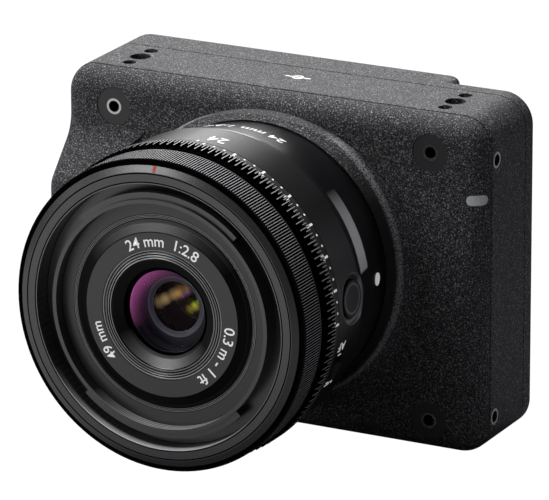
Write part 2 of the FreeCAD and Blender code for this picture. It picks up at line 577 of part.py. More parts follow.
screws = []
for place_name, at_x, at_z, plane in SCREWS:
    head_y = plane + " - screw_gap"
    body = fuse("screw_body_" + place_name, [
        rod("screw_head_" + place_name, "screw_head", "screw_deep - screw_gap",
            (at_x, head_y, at_z), "-y"),
        rod("screw_shank_" + place_name, "screw_shank", plane + " - rear_seam_y + post_long - 2",
            (at_x, head_y, at_z), "-y")])
    cross = [box("slot_across_" + place_name, ("screw_slot_long", "screw_slot_deep", "screw_slot"),
                 (at_x + " - screw_slot_long / 2", head_y + " - screw_slot_deep",
                  at_z + " - screw_slot / 2")),
             box("slot_up_" + place_name, ("screw_slot", "screw_slot_deep", "screw_slot_long"),
                 (at_x + " - screw_slot / 2", head_y + " - screw_slot_deep",
                  at_z + " - screw_slot_long / 2"))]
    screws.append(cut("screw_" + place_name, body, cross))
node("rear_screws", group("rear_screws", screws))

# Card door on the left wall, hinged at its rear edge on a pin
hinge_x = "-body_wide / 2 + door_sunk + hinge_round"
hinge_y = "door_rear - hinge_round"
door_solid = fuse("door_solid", [
    box("door_plate", ("door_thick", "door_rear - hinge_round - door_front", "door_high - door_low"),
        ("-body_wide / 2 + door_sunk", "door_front", "door_low")),
    rod("door_knuckle", "hinge_round", "door_high - door_low", (hinge_x, hinge_y, "door_low"), "z")])
node("card_door", cut("card_door", door_solid, [
    rod("door_bore", "hinge_pin + hinge_fit", "door_high - door_low + 2",
        (hinge_x, hinge_y, "door_low - 1"), "z")]))
node("door_pin", rod("door_pin", "hinge_pin", "door_high - door_low + hinge_seat * 2",
                     (hinge_x, hinge_y, "door_low - hinge_seat"), "z"))

# Release button and the lock pin that it draws back out of the lens
release_face = "pad_y - release_rise"
release_long = "front_y + button_gap + release_flange_thick - pad_y + release_rise"
release_solid = fuse("release_solid", [
    rounded("release_top", rod("release_cap", "release_cap", release_long,
                               ("release_x", release_face, "axis_tall"), "y"),
            "release_edge", lambda middle, way, edge:
            middle.y < value(release_face) + 0.01),
    rod("release_rim", "release_flange", "release_flange_thick",
        ("release_x", "front_y + button_gap", "axis_tall"), "y")])
node("release_button", release_solid)
arm_y = "front_y + button_gap + release_flange_thick + pin_fit"
pin_solid = fuse("pin_solid", [
    rod("pin_rod", "pin_round", "front_y + button_gap + release_flange_thick + arm_thick "
        "- flange_y + pin_reach", ("pin_x", "flange_y - pin_reach", "axis_tall"), "y"),
    box("pin_arm", ("pin_x - release_x + release_cap / 2", "arm_thick", "arm_high"),
        ("release_x - release_cap / 4", arm_y, "axis_tall - arm_high / 2"))])
node("lock_pin", pin_solid)

# Push buttons on the rear plane, with the stems that reach the switches on the main board
main_y = "flange_y + flange_to_sensor - cavity_deep + package_thick + board_thick + " \
         "plate_gap + plate_thick + main_gap"
for label, tall in (("power", "power_tall"), ("menu", "menu_tall")):
    cap = rounded(f"{label}_top", rod(f"{label}_cap", "button_round",
                                      "button_proud + wall + button_gap",
                                      ("button_x", "rear_y + button_proud", tall), "-y"),
                  "button_edge", lambda middle, way, edge:
                  middle.y > value("rear_y + button_proud") - 0.01)
    rim = rod(f"{label}_rim", "button_flange", "button_flange_thick",
              ("button_x", "rear_y - wall - button_gap", tall), "-y")
    stem = rod(f"{label}_stem", "button_stem",
               f"rear_y - wall - button_gap - ({main_y}) - board_thick - switch_tall "
               "- button_travel - screw_gap",
               ("button_x", "rear_y - wall - button_gap", tall), "-y")
    node(f"{label}_button", fuse(f"{label}_button", [cap, rim, stem]))

# Chassis plate behind the front cover, with the seat for the mount and four sensor legs
package_y = "flange_y + flange_to_sensor - cavity_deep"
plate_front = package_y + " + package_thick + board_thick + plate_gap"
legs = [rod(f"leg_{side}_{end}", "leg_round", plate_front + " - frame_front - frame_thick",
            (sign + "leg_x", "frame_front + frame_thick", "axis_tall " + lift + " leg_z"), "y")
        for side, sign in SIDES for end, lift in (("low", "-"), ("high", "+"))]
frame_plate = box("frame_plate", ("body_wide - band_wall * 2 - frame_gap * 2", "frame_thick",
                                  "body_tall - band_wall * 2 - frame_gap * 2"),
                  ("-body_wide / 2 + band_wall + frame_gap", "frame_front",
                   "band_wall + frame_gap"))
frame_round = rounded("frame_round", frame_plate, "corner_round - band_wall - frame_gap",
                      lambda middle, way, edge: abs(way.y) > 0.9)
MOUNT_SCREWS = [30 + 60 * step for step in range(6)]


def on_ring(ring, angle):
    """X and Z of a point on a circle about the lens axis."""
    turn = math.radians(angle)
    return value(ring) * math.cos(turn), value("axis_tall") + value(ring) * math.sin(turn)


def ring_rods(name, radius, front, length, ring, angles):
    """Round bars parallel to the lens axis on a circle round it, running back from front."""
    bars = []
    for angle in angles:
        x, z = on_ring(ring, angle)
        bars.append(Part.makeCylinder(value(radius), value(length), Vector(x, value(front), z),
                                      Vector(0, 1, 0)))
    return made(name, Part.makeCompound(bars))


frame_cuts = [
    rod("frame_hole", "frame_bore", "frame_front + frame_thick - flange_y",
        ("0", "flange_y", "axis_tall"), "y"),
    box("frame_arm_slot", ("-release_x + release_cap / 4 + arm_gap - throat - 1",
                           "frame_front + frame_thick - flange_y", "arm_high + arm_gap * 2"),
        ("release_x - release_cap / 4 - arm_gap", "front_y - arm_thick",
         "axis_tall - arm_high / 2 - arm_gap")),
    rod("frame_pin_hole", "pin_round + pin_fit", "frame_front + frame_thick - flange_y",
        ("pin_x", "flange_y", "axis_tall"), "y"),
    ring_rods("frame_screw_holes", "mount_screw_shank", "flange_y", "mount_screw_long",
              "mount_screw_ring", MOUNT_SCREWS)]
frame_cuts.append(box("frame_bush_clear", ("bush_outer * 2 + 4 + frame_gap * 2",
                                           "frame_thick + 2", "bush_long + frame_gap"),
                      ("-bush_outer - 2 - frame_gap", "frame_front - 1", "0")))
for place_name, at_x, at_z in FRONT_FIXINGS:
    frame_cuts.append(rod("frame_clear_" + place_name, "insert_outer + pin_fit",
                          "frame_thick + 2", (at_x, "frame_front - 1", at_z), "y"))
frame_boss = tube("frame_boss_ring", "frame_boss", "frame_bore",
                  "flange_y - frame_front - frame_thick / 2",
                  "frame_front + frame_thick / 2 - flange_y - ring_thick")
node("inner_frame", cut("inner_frame", fuse("frame_solid", [frame_round, frame_boss] + legs),
                        frame_cuts))


# Body mount ring: three bayonet tabs inside the throat, six countersunk screws
def sector(inner, outer, front, length, start, span):
    """Part of a flat ring on the lens axis that runs back from the depth front."""
    whole = Part.makeCylinder(outer, length, Vector(0, 0, 0), Vector(0, 0, 1), span)
    ring = whole.cut(Part.makeCylinder(inner, length))
    ring.rotate(Vector(0, 0, 0), Vector(0, 0, 1), start)
    ring.rotate(Vector(0, 0, 0), Vector(1, 0, 0), 90)
    ring.translate(Vector(0, value("flange_y") - front + length, value("axis_tall")))
    return ring


def three_sectors(name, inner, outer, front, length, span):
    """Three like sectors at 90, 210 and 330 degrees."""
    return made(name, Part.makeCompound([
        sector(value(inner), value(outer), value(front), value(length),
               turn - value(span) / 2, value(span)) for turn in (90, 210, 330)]))


mount_solid = fuse("mount_solid", [
    tube("mount_body", "ring_outer", "throat", "-ring_thick", "ring_thick"),
    three_sectors("mount_tabs", "throat - tab_reach", "throat + 1", "-tab_sunk", "tab_thick",
                  "tab_angle")])
node("mount_ring", cut("mount_ring", mount_solid, [
    ring_rods("mount_heads", "mount_screw_head", "flange_y", "mount_screw_deep",
              "mount_screw_ring", MOUNT_SCREWS),
    ring_rods("mount_shanks", "mount_screw_shank + pin_fit", "flange_y", "ring_thick",
              "mount_screw_ring", MOUNT_SCREWS),
    rod("mount_pin_hole", "pin_round + pin_fit", "ring_thick", ("pin_x", "flange_y", "axis_tall"),
        "y")]))
node("mount_screws", fuse("mount_screws", [
    ring_rods("mount_screw_heads", "mount_screw_head", "flange_y", "mount_screw_deep",
              "mount_screw_ring", MOUNT_SCREWS),
    ring_rods("mount_screw_shanks", "mount_screw_shank", "flange_y", "mount_screw_long",
              "mount_screw_ring", MOUNT_SCREWS)]))

# Electrical contacts at the bottom of the throat
contact_turns = [270 + math.degrees(value("contact_step / contact_ring"))
                 * (step - (value("contact_count") - 1) / 2)
                 for step in range(int(value("contact_count")))]
contact_ring = made("contact_sector", sector(
    value("contact_inner"), value("frame_bore - contact_fit"),
    value("-tail_long - contact_rise"), value("contact_thick"),
    270 - value("contact_angle") / 2, value("contact_angle")))
node("contact_block", cut("contact_block", contact_ring, [
    ring_rods("contact_holes", "contact_pin", "flange_y + tail_long", "contact_thick",
              "contact_ring", contact_turns)]))
node("contact_pins", ring_rods("contact_pins", "contact_pin", "flange_y + tail_long",
                               "contact_thick", "contact_ring", contact_turns))

# Sensor: ceramic package with its cover glass, its board and the plate on the frame's legs
package = box("package_block", ("package_wide", "package_thick", "package_high"),
              ("-package_wide / 2", package_y, "axis_tall - package_high / 2"))
node("sensor_package", cut("sensor_package", package, [
    box("package_cavity", ("cavity_wide", "cavity_deep", "cavity_high"),
        ("-cavity_wide / 2", package_y, "axis_tall - cavity_high / 2"))]))
node("sensor_glass", box("sensor_glass", ("glass_wide", "glass_thick", "glass_high"),
                         ("-glass_wide / 2", package_y + " - glass_thick",
                          "axis_tall - glass_high / 2")))
node("sensor_board", box("sensor_board", ("sensor_board_wide", "board_thick", "sensor_board_high"),
                         ("-sensor_board_wide / 2", package_y + " + package_thick",
                          "axis_tall - sensor_board_high / 2")))
node("sensor_plate", box("sensor_plate", ("plate_wide", "plate_thick", "plate_high"),
                         ("-plate_wide / 2", plate_front, "axis_tall - plate_high / 2")))

# Main board with its chips and the two key switches, and the heat spreader behind it
chips = [box(f"chip_{across}_{up}", ("chip_wide", "chip_thick", "chip_wide"),
             (f"main_left + chip_side + chip_step * {across}", main_y + " + board_thick",
              f"main_low + chip_low + chip_step * {up}"))
         for across in range(3) for up in range(2)]
switches = [box(f"switch_{label}", ("switch_body", "switch_tall", "switch_body"),
                ("button_x - switch_body / 2", main_y + " + board_thick",
                 tall + " - switch_body / 2"))
            for label, tall in (("power", "power_tall"), ("menu", "menu_tall"))]
main_plate = box("main_plate", ("main_right - main_left", "board_thick", "main_high - main_low"),
                 ("main_left", main_y, "main_low"))
post_clear = [rod(f"post_clear_{side}_{level}", "post_round + frame_gap", "rear_y * 2",
                  (sign + "screw_x", "0", "screw_" + level), "y")
              for side, sign in SIDES for level in ("low", "high")]
node("main_board", cut("main_board", fuse("main_parts", [main_plate] + chips + switches),
                       post_clear))
spread_y = main_y + " + board_thick + chip_thick + spread_gap"
spreader = box("spreader_plate", ("main_right - main_left - spread_inset * 2", "spread_thick",
                                  "main_high - main_low - spread_inset * 2"),
               ("main_left + spread_inset", spread_y, "main_low + spread_inset"))
node("heat_spreader", cut("heat_spreader", spreader, post_clear + [
    rod(f"switch_clear_{label}", "switch_body", "spread_thick + 2",
        ("button_x", spread_y + " - 1", tall), "y")
    for label, tall in (("power", "power_tall"), ("menu", "menu_tall"))]))
card_y = spread_y + " + spread_thick + spread_gap"
card_shell = box("card_shell", ("card_long", "card_thick", "card_high"),
                 ("card_left", card_y, "card_low"))
node("card_slot", cut("card_slot", card_shell, [
    box("card_mouth", ("card_long - 2", "card_gap", "card_wide"),
        ("card_left", card_y + " + card_thick / 2 - card_gap / 2",
         "card_low + card_high / 2 - card_wide / 2"))]))

# Socket board in the strip on the right, and its three sockets
node("io_board", box("io_board", ("io_right - io_left", "board_thick", "io_high - io_low"),
                     ("io_left", "io_y", "io_low")))
socket_y = "io_y + board_thick"
socket_long = "strip_y - socket_sunk - io_y - board_thick"
for label, tall, wide, high in SOCKETS:
    shell = box(label + "_shell", (wide, socket_long, high),
                ("socket_x - " + wide + " / 2", socket_y, tall + " - " + high + " / 2"))
    ends = rounded(label + "_ends", shell, high + " / 2.05" if label == "usb" else "usb_shell",
                   lambda middle, way, edge: abs(way.y) > 0.9)
    hollow = box(label + "_hollow", (wide + " - usb_shell * 2", "socket_hollow + 1",
                                     high + " - usb_shell * 2"),
                 ("socket_x - " + wide + " / 2 + usb_shell",
                  "strip_y - socket_sunk - socket_hollow", tall + " - " + high + " / 2 + usb_shell"))
    inner = rounded(label + "_inner", hollow,
                    high + " / 2.05 - usb_shell" if label == "usb" else "usb_shell / 2",
                    lambda middle, way, edge: abs(way.y) > 0.9)
    tongue = box(label + "_tongue", (wide + " - tongue_inset * 2", "socket_hollow",
                                     "tongue_high"),
                 ("socket_x - " + wide + " / 2 + tongue_inset",
                  "strip_y - socket_sunk - socket_hollow - 1", tall + " - tongue_high / 2"))
    node(label + "_socket", fuse(label + "_socket", [cut(label + "_open", ends, [inner]), tongue]))
jack = cut("jack_open", rod("jack_body", "jack_outer", socket_long,
                            ("socket_x", socket_y, "power_jack_tall"), "y"),
           [rod("jack_hollow", "jack_bore", "socket_hollow + 2",
                ("socket_x", "strip_y - socket_sunk + 1", "power_jack_tall"), "-y")])
node("power_socket", fuse("power_socket", [
    jack, rod("jack_post", "jack_pin", "socket_hollow",
              ("socket_x", "strip_y - socket_sunk - 1", "power_jack_tall"), "-y")]))

# Lens mount plate: the bright disc behind the barrel, its tail tube and three bayonet lugs
plate_solid = fuse("lens_plate_solid", [
    turned("lens_plate", [("tail_round - tail_wall", "-tail_long"), ("tail_round", "-tail_long"),
                          ("tail_round", "0"), ("seat_round", "0"), ("seat_round", "seat_thick"),
                          ("tail_round - tail_wall", "seat_thick")]),
    three_sectors("lens_lugs", "tail_round - 1", "lug_round", "-tab_sunk - tab_thick - tab_gap",
                  "lug_thick", "tab_angle")])
node("lens_mount_plate", cut("lens_mount_plate", plate_solid, [
    rod("lens_pin_hole", "pin_round + pin_fit", "seat_thick + 2",
        ("pin_x", "flange_y + 1", "axis_tall"), "-y")]))

# Barrel: a tapered rear tube with the button and switch recesses, over an inner tube
rear_tube = turned("rear_tube", [
    ("seat_round + seat_gap", "rim_gap"), ("rim_round", "rim_gap"), ("waist_round", "waist_long"),
    ("barrel_round", "barrel_start"), ("barrel_round", "barrel_end"),
    ("guide_round + seat_gap", "barrel_end"),
    ("guide_round + seat_gap", "guide_start + ring_gap * 2"),
    ("barrel_round - barrel_wall", "guide_start + ring_gap"),
    ("barrel_round - barrel_wall", "barrel_start"),
    ("waist_round - barrel_wall", "waist_long"), ("seat_round + seat_gap", "seat_thick")])


def radial_rod(name, radius, inner, outer, depth_now, angle):
    """A round bar that points straight out from the lens axis between two radii."""
    bar = Part.makeCylinder(value(radius), value(outer) - value(inner),
                            Vector(value(inner), value("flange_y") - value(depth_now),
                                   value("axis_tall")), Vector(1, 0, 0))
    return made(name, about_axis(bar, value(angle)))


def curved_block(name, inner, outer, depth_now, long, wide, angle, soft="0"):
    """A block that follows the barrel: long along the lens axis and wide round it."""
    near, far = value(inner), value(outer)
    block = Part.makeBox(far, value(wide), value(long),
                         Vector(0, -value(wide) / 2, value(depth_now) - value(long) / 2))
    if value(soft) > 0:
        block = block.makeFillet(value(soft), [edge for edge in block.Edges
                                               if abs(edge.tangentAt(0).x) > 0.9])
    reach = value("lens_long")
    block = block.common(Part.makeCylinder(far, reach)).cut(Part.makeCylinder(near, reach))
    block.rotate(Vector(0, 0, 0), Vector(1, 0, 0), 90)
    block.translate(Vector(0, value("flange_y"), value("axis_tall")))
    return made(name, about_axis(block, value(angle)))


node("rear_barrel", cut("rear_barrel", rear_tube, [
    radial_rod("hold_dish", "hold_recess", "barrel_round - hold_floor", "barrel_round + 1",
               "hold_depth", "hold_angle"),
    radial_rod("hold_bore", "hold_round + hold_gap", "seat_round", "barrel_round + 1",
               "hold_depth", "hold_angle"),
    curved_block("switch_recess", "barrel_round - switch_floor", "barrel_round + 1",
                 "switch_depth", "switch_long", "switch_wide", "switch_angle", "switch_soft"),
    curved_block("switch_slot", "guide_round", "barrel_round + 1", "switch_depth", "neck_long",
                 "switch_wide - 1", "switch_angle")]))
node("focus_hold_button", fuse("focus_hold_button", [
    radial_rod("hold_cap", "hold_round", "barrel_round - barrel_wall - hold_drop",
               "barrel_round - hold_floor + hold_rise", "hold_depth", "hold_angle"),
    radial_rod("hold_rim", "hold_flange",
               "barrel_round - barrel_wall - hold_drop - hold_flange_thick",
               "barrel_round - barrel_wall - hold_drop", "hold_depth", "hold_angle")]))
knob_start = "switch_angle - knob_turn / 2"
node("focus_mode_switch", fuse("focus_mode_switch", [
    curved_block("knob", "barrel_round - switch_floor + seat_gap", "barrel_round + knob_rise",
                 "switch_depth", "switch_long - knob_gap * 2", "knob_wide", knob_start,
                 "switch_soft - knob_gap"),
    curved_block("knob_neck", "barrel_round - barrel_wall - knob_gap - foot_thick / 2",
                 "barrel_round", "switch_depth", "neck_long - knob_gap", "knob_wide - 2",
                 knob_start),
    curved_block("knob_foot", "barrel_round - barrel_wall - knob_gap - foot_thick",
                 "barrel_round - barrel_wall - knob_gap", "switch_depth - neck_long / 2",
                 "foot_long", "knob_wide", knob_start)]))

aperture_start = "barrel_end + ring_gap"
aperture_end = aperture_start + " + aperture_smooth + aperture_ribs_long * 2 + aperture_lip"
divider_start = aperture_end + " + ring_gap"
focus_start = divider_start + " + divider_thick + divider_gap"
focus_end = focus_start + " + focus_long"
node("inner_barrel", turned("inner_barrel", [
    ("seat_round - guide_wall", "seat_thick"), ("seat_round", "seat_thick"),
    ("seat_round", "flare_start"), ("guide_round", "guide_start"), ("guide_round", divider_start),
    ("divider_round", divider_start), ("divider_round", divider_start + " + divider_thick"),
    ("focus_guide", divider_start + " + divider_thick"), ("focus_guide", "lens_long - 1"),
    ("focus_guide - guide_wall", "lens_long - 1"),
    ("focus_guide - guide_wall", divider_start + " + divider_thick"),
    ("guide_round - guide_wall", divider_start),
    ("guide_round - guide_wall", "guide_start + guide_wall / 2"),
    ("seat_round - guide_wall", "flare_start + guide_wall / 2")]))


def rib_slab(root, crest, ribs, every, level, length):
    """A disc whose rim carries square ribs, of which only each every-th one is there."""
    pitch = 2 * math.pi / int(value(ribs))
    spots = []
    for step in range(0, int(value(ribs)), every):
        for share, radius in ((0, root), (0.1, crest), (0.5, crest), (0.6, root)):
            turn = (step + share) * pitch
            spots.append(Vector(value(radius) * math.cos(turn), value(radius) * math.sin(turn),
                                value(level)))
    return Part.Face(Part.makePolygon(spots + spots[:1])).extrude(Vector(0, 0, value(length)))


def disc_slab(radius, level, length):
    """A plain disc on the lens axis, from the depth level forward."""
    return Part.makeCylinder(value(radius), value(length), Vector(0, 0, value(level)))


def grip_ring(name, inner, slabs):
    """One ring out of discs that stand on each other, bored through and turned to face front."""
    ring = slabs[0].fuse(slabs[1:]).cut(disc_slab(inner, "0", "lens_long + 1")).removeSplitter()
    ring.rotate(Vector(0, 0, 0), Vector(1, 0, 0), 90)
    ring.translate(Vector(0, value("flange_y"), value("axis_tall")))
    return made(name, ring)


# Aperture ring: a smooth band, then two rows of ribs, the second with every other rib
ribs_start = aperture_start + " + aperture_smooth"
node("aperture_ring", grip_ring("aperture_ring", "guide_round + guide_gap", [
    disc_slab("barrel_round", aperture_start, "aperture_smooth"),
    rib_slab("aperture_root", "aperture_crest", "aperture_ribs", 1, ribs_start,
             "aperture_ribs_long"),
    rib_slab("aperture_root", "aperture_crest", "aperture_ribs", 2,
             ribs_start + " + aperture_ribs_long", "aperture_ribs_long"),
    disc_slab("aperture_root", ribs_start + " + aperture_ribs_long * 2", "aperture_lip")]))

# Focus ring: fine ribs between two narrow lips
node("focus_ring", grip_ring("focus_ring", "focus_guide + guide_gap", [
    disc_slab("focus_round", focus_start, "focus_lip"),
    rib_slab("focus_root", "focus_round", "focus_ribs", 1, focus_start + " + focus_lip",
             "focus_long - focus_lip * 2"),
    disc_slab("focus_round", focus_end + " - focus_lip", "focus_lip")]))

# Front of the lens: bezel, filter thread with its hood lugs, name ring and glass retainer
bezel_back = "lens_long - bezel_slope - bezel_edge"
node("front_bezel", turned("front_bezel", [
    ("bezel_inner", "lens_long - bezel_deep"), ("bezel_inner", "lens_long"),
    ("bezel_flat", "lens_long"), ("bezel_outer", "lens_long - bezel_slope"),
    ("bezel_outer", bezel_back), ("bezel_inner + bezel_skirt", bezel_back),
    ("bezel_inner + bezel_skirt", "lens_long - bezel_deep")]))
groove = "lens_long - groove_deep"
filter_tube = turned("filter_tube", [
    ("filter_bore + filter_relief", groove + " - groove_floor"),
    ("bezel_inner - seat_gap", groove + " - groove_floor"),
    ("bezel_inner - seat_gap", groove), ("filter_outer", groove),
    ("filter_outer", "lens_long - filter_sunk"), ("filter_bore", "lens_long - filter_sunk"),
    ("filter_bore", "lens_long - dish_deep"),
    ("filter_bore + filter_relief", "lens_long - dish_deep")])
hood_lugs = made("hood_lugs", Part.makeCompound([
    sector(value("filter_outer") - 0.2, value("hood_lug"),
           value("lens_long - filter_sunk - hood_lug_sunk"), value("hood_lug_thick"),
           value("hood_lug_top") + turn - value("hood_lug_angle") / 2, value("hood_lug_angle"))
    for turn in (0, 180)]))
node("filter_ring", fuse("filter_ring", [filter_tube, hood_lugs]))
dish = "lens_long - dish_deep"
name_profile = [("name_inner", dish + " - dish_thick"),
                ("filter_bore - seat_gap", dish + " - dish_thick"),
                ("filter_bore - seat_gap", dish), ("step_start", dish)]
for step in range(1, int(value("step_count")) + 1):
    name_profile.append((f"step_start - step_wide * {step - 1}", f"{dish} + step_high * {step}"))
    name_profile.append((f"step_start - step_wide * {step}", f"{dish} + step_high * {step}"))
name_profile += [("name_outer", "lens_long - name_sunk"), ("name_inner", "lens_long - name_sunk")]
node("name_ring", turned("name_ring", name_profile))
ring_face = "lens_long - name_sunk - fine_high"
retainer_profile = [("eye_round", "lens_long - eye_deep - eye_thick"),
                    ("name_inner - cell_fit", "lens_long - eye_deep - eye_thick"),
                    ("name_inner - cell_fit", ring_face)]
for step in range(1, int(value("fine_rings")) + 1):
    retainer_profile.append((f"name_inner - cell_fit - fine_wide * {step} + fine_wide / 3",
                             ring_face))
    retainer_profile.append((f"name_inner - cell_fit - fine_wide * {step}",
                             ring_face + " - fine_high"))
retainer_profile += [("cone_inner", "lens_long - cone_deep"), ("eye_round", "lens_long - eye_deep")]
node("front_retainer", turned("front_retainer", retainer_profile))

# Glass and the tubes that carry it
cell_front = "lens_long - eye_deep - eye_thick - eye_seat"
node("front_cell", turned("front_cell", [
    ("pair_glass + cell_fit", "cell_start"), ("front_glass + cell_wall", "cell_start"),
    ("front_glass + cell_wall", "cell_flange_start"),
    ("focus_guide - guide_wall - seat_gap", "cell_flange_start"),
    ("focus_guide - guide_wall - seat_gap", "cell_flange_end"),
    ("filter_bore - seat_gap", "cell_flange_end"),
    ("filter_bore - seat_gap", dish + " - dish_thick - seat_gap"),
    ("front_glass + cell_wall", dish + " - dish_thick - seat_gap"),
    ("front_glass + cell_wall", cell_front), ("front_glass + cell_fit", cell_front),
    ("front_glass + cell_fit", cell_front + " - front_glass_thick"),
    ("second_glass + cell_fit", cell_front + " - front_glass_thick"),
    ("second_glass + cell_fit", "second_start"), ("pair_glass + cell_fit", "second_start")]))


def glass(name, radius, rear, thick, rear_rise, front_rise):
    """A lens element: a rim with a spherical face at each end, bulging by the given rises."""
    rim, back = value(radius), value(rear)
    front = back + value(thick)

    def bulged(level, rise):
        """The point on the axis and the one half way out of a face that rises by rise."""
        if rise == 0:
            return Vector(0, level, 0), Vector(rim / 2, level, 0)
        ball = (rim ** 2 + rise ** 2) / (2 * abs(rise))
        fall = ball - math.sqrt(ball ** 2 - (rim / 2) ** 2)
        sign = 1 if rise > 0 else -1
        return Vector(0, level + rise, 0), Vector(rim / 2, level + rise - sign * fall, 0)

    rear_top, rear_half = bulged(back, -value(rear_rise))
    front_top, front_half = bulged(front, value(front_rise))
    outline = Part.Wire([
        Part.Arc(rear_top, rear_half, Vector(rim, back, 0)).toShape(),
        Part.LineSegment(Vector(rim, back, 0), Vector(rim, front, 0)).toShape(),
        Part.Arc(Vector(rim, front, 0), front_half, front_top).toShape(),
        Part.LineSegment(front_top, rear_top).toShape()])
    solid = Part.Face(outline).revolve(Vector(0, 0, 0), Vector(0, 1, 0), 360)
    solid.rotate(Vector(0, 0, 0), Vector(1, 0, 0), 180)
    solid.translate(Vector(0, value("flange_y"), value("axis_tall")))
    return made(name, solid)


node("front_element", glass("front_element", "front_glass", cell_front + " - front_glass_thick",
                            "front_glass_thick", "-glass_rise", "front_rise"))
node("inner_elements", group("inner_elements", [
    glass("second_element", "second_glass", "second_start", "second_thick", "-glass_rise",
          "-glass_rise"),
    glass("third_element", "pair_glass", "pair_start", "pair_thick", "glass_rise / 2",
          "glass_rise")]))
core_inner = "core_outer - core_wall"
node("core_tube", tube("core_tube", "core_outer", core_inner, "seat_thick",
                       "cell_flange_start - seat_thick - seat_gap"))
rear_end = "rear_cell_start + rear_cell_long"
node("rear_cell", turned("rear_cell", [
    ("rear_glass + cell_fit", "rear_cell_start"), ("rear_glass + rear_wall", "rear_cell_start"),
    ("rear_glass + rear_wall", rear_end + " - rear_flange_thick"),
    (core_inner + " - seat_gap", rear_end + " - rear_flange_thick"),
    (core_inner + " - seat_gap", rear_end), ("rear_glass + cell_fit", rear_end)]))
node("rear_element", glass("rear_element", "rear_glass", "rear_cell_start + 1",
                           "rear_cell_long - 2", "-glass_rise", "glass_rise"))

# Focus group: one element in a carrier that slides on two rods between iris and rear group
iris_end = "iris_start + iris_long"
rod_x = [("rod_ring", "right"), ("-rod_ring", "left")]
carrier_parts = [tube("carrier_ring", "carrier_outer", "focus_glass + cell_fit", "carrier_start",
                      "carrier_long")]
for at_x, side in rod_x:
    carrier_parts.append(rod("ear_" + side, "rod_ear", "carrier_long",
                             (at_x, depth("carrier_start"), "axis_tall"), "-y"))
    carrier_parts.append(box("ear_arm_" + side,
                             ("rod_ring - carrier_outer + 1", "carrier_long", "arm_wide"),
                             (("carrier_outer - 1" if side == "right" else "-rod_ring"),
                              depth("carrier_start + carrier_long"), "axis_tall - arm_wide / 2")))
node("focus_carrier", cut("focus_carrier", fuse("carrier_solid", carrier_parts), [
    rod("ear_bore_" + side, "rod_round + rod_fit", "carrier_long + 2",
        (at_x, depth("carrier_start - 1"), "axis_tall"), "-y") for at_x, side in rod_x]))
node("focus_element", glass("focus_element", "focus_glass",
                            "carrier_start + carrier_long / 2 - focus_glass_thick / 2",
                            "focus_glass_thick", "glass_rise / 4", "-glass_rise / 2"))
node("focus_rods", group("focus_rods", [
    rod("focus_rod_" + side, "rod_round", "iris_start - rear_cell_start - rear_cell_long",
        (at_x, depth(rear_end), "axis_tall"), "-y") for at_x, side in rod_x]))
node("focus_motor", box("focus_motor", ("motor_wide", "motor_long", "motor_high"),
                        ("-motor_wide / 2", depth(rear_end + " + motor_long"),
                         "axis_tall + motor_ring")))

# Iris: a flat housing, the ring that drives it and seven blades, each in its own layer
cavity_start = "iris_start + iris_plate"
cavity_end = iris_end + " - iris_plate"
housing = turned("housing_solid", [
    ("iris_eye", "iris_start"), (core_inner + " - seat_gap", "iris_start"),
    (core_inner + " - seat_gap", "iris_start + iris_plate * 2"),
    ("iris_outer", "iris_start + iris_plate * 2"), ("iris_outer", iris_end),
    ("iris_eye", iris_end), ("iris_eye", cavity_end), ("iris_cavity", cavity_end),
    ("iris_cavity", cavity_start), ("iris_eye", cavity_start)])
blade_turns = [360 * step / int(value("blade_count"))
               for step in range(int(value("blade_count")))]
node("iris_housing", cut("iris_housing", housing, [
    ring_rods("pivot_holes", "pivot_round + pivot_fit", depth(iris_end + " + 1"), "iris_plate + 2",
              "blade_pivot", blade_turns)]))
drive_start = cavity_start + " + seat_gap"
node("iris_drive_ring", cut(
    "iris_drive_ring", tube("drive_solid", "drive_outer", "drive_inner", drive_start,
                            "drive_thick"),
    [made("drive_slots", Part.makeCompound([
        sector(value("drive_inner + slot_inset"), value("drive_outer - slot_inset"),
               value(drive_start + " + drive_thick * 2"), value("drive_thick * 3"),
               turn + value("slot_lead"), value("slot_turn")) for turn in blade_turns]))]))
first_blade = drive_start + " + drive_thick + seat_gap"
for number, turn in enumerate(blade_turns):
    layer = value(first_blade) + number * value("blade_step") + value("blade_thick")
    crescent = sector(value("blade_inner"), value("blade_outer"), layer, value("blade_thick"),
                      turn - value("blade_heel"), value("blade_span"))
    x, z = on_ring("blade_pivot", turn)
    ear = Part.makeCylinder(value("blade_ear"), value("blade_thick"),
                            Vector(x, value("flange_y") - layer, z), Vector(0, 1, 0))
    bridge = Part.makeBox(value("blade_pivot - blade_outer + blade_ear"), value("blade_thick"),
                          value("ear_bridge"),
                          Vector(value("blade_outer - blade_ear"), value("flange_y") - layer,
                                 value("axis_tall - ear_bridge / 2")))
    top = value("flange_y") - value(iris_end)
    pivot = Part.makeCylinder(value("pivot_round"), value("flange_y") - layer - top,
                              Vector(x, top, z), Vector(0, 1, 0))
    blade = crescent.fuse([ear, about_axis(bridge, turn), pivot]).removeSplitter()
    node(f"iris_blade_{number + 1}", made(f"iris_blade_{number + 1}", blade))

# Every object has to be sound before anything is written
doc.recompute()
faulty = [thing.Name for thing in doc.Objects
          if "Invalid" in thing.State or "Error" in thing.State]
for piece in NODES:
    if piece.Shape.isNull() or not piece.Shape.isValid() or not piece.Shape.Solids:
        faulty.append(piece.Label)
if faulty:
    raise SystemExit("not sound: " + ", ".join(faulty))
os.makedirs("parts", exist_ok=True)
for piece in NODES:
    piece.Shape.exportStep(os.path.join("parts", piece.Label + ".step"))
    print(f"{piece.Label}: {len(piece.Shape.Solids)} solids, {piece.Shape.Volume:.1f} mm3")
print(len(NODES), "pieces")
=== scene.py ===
import math

import bmesh
import bpy
from mathutils import Matrix, Vector


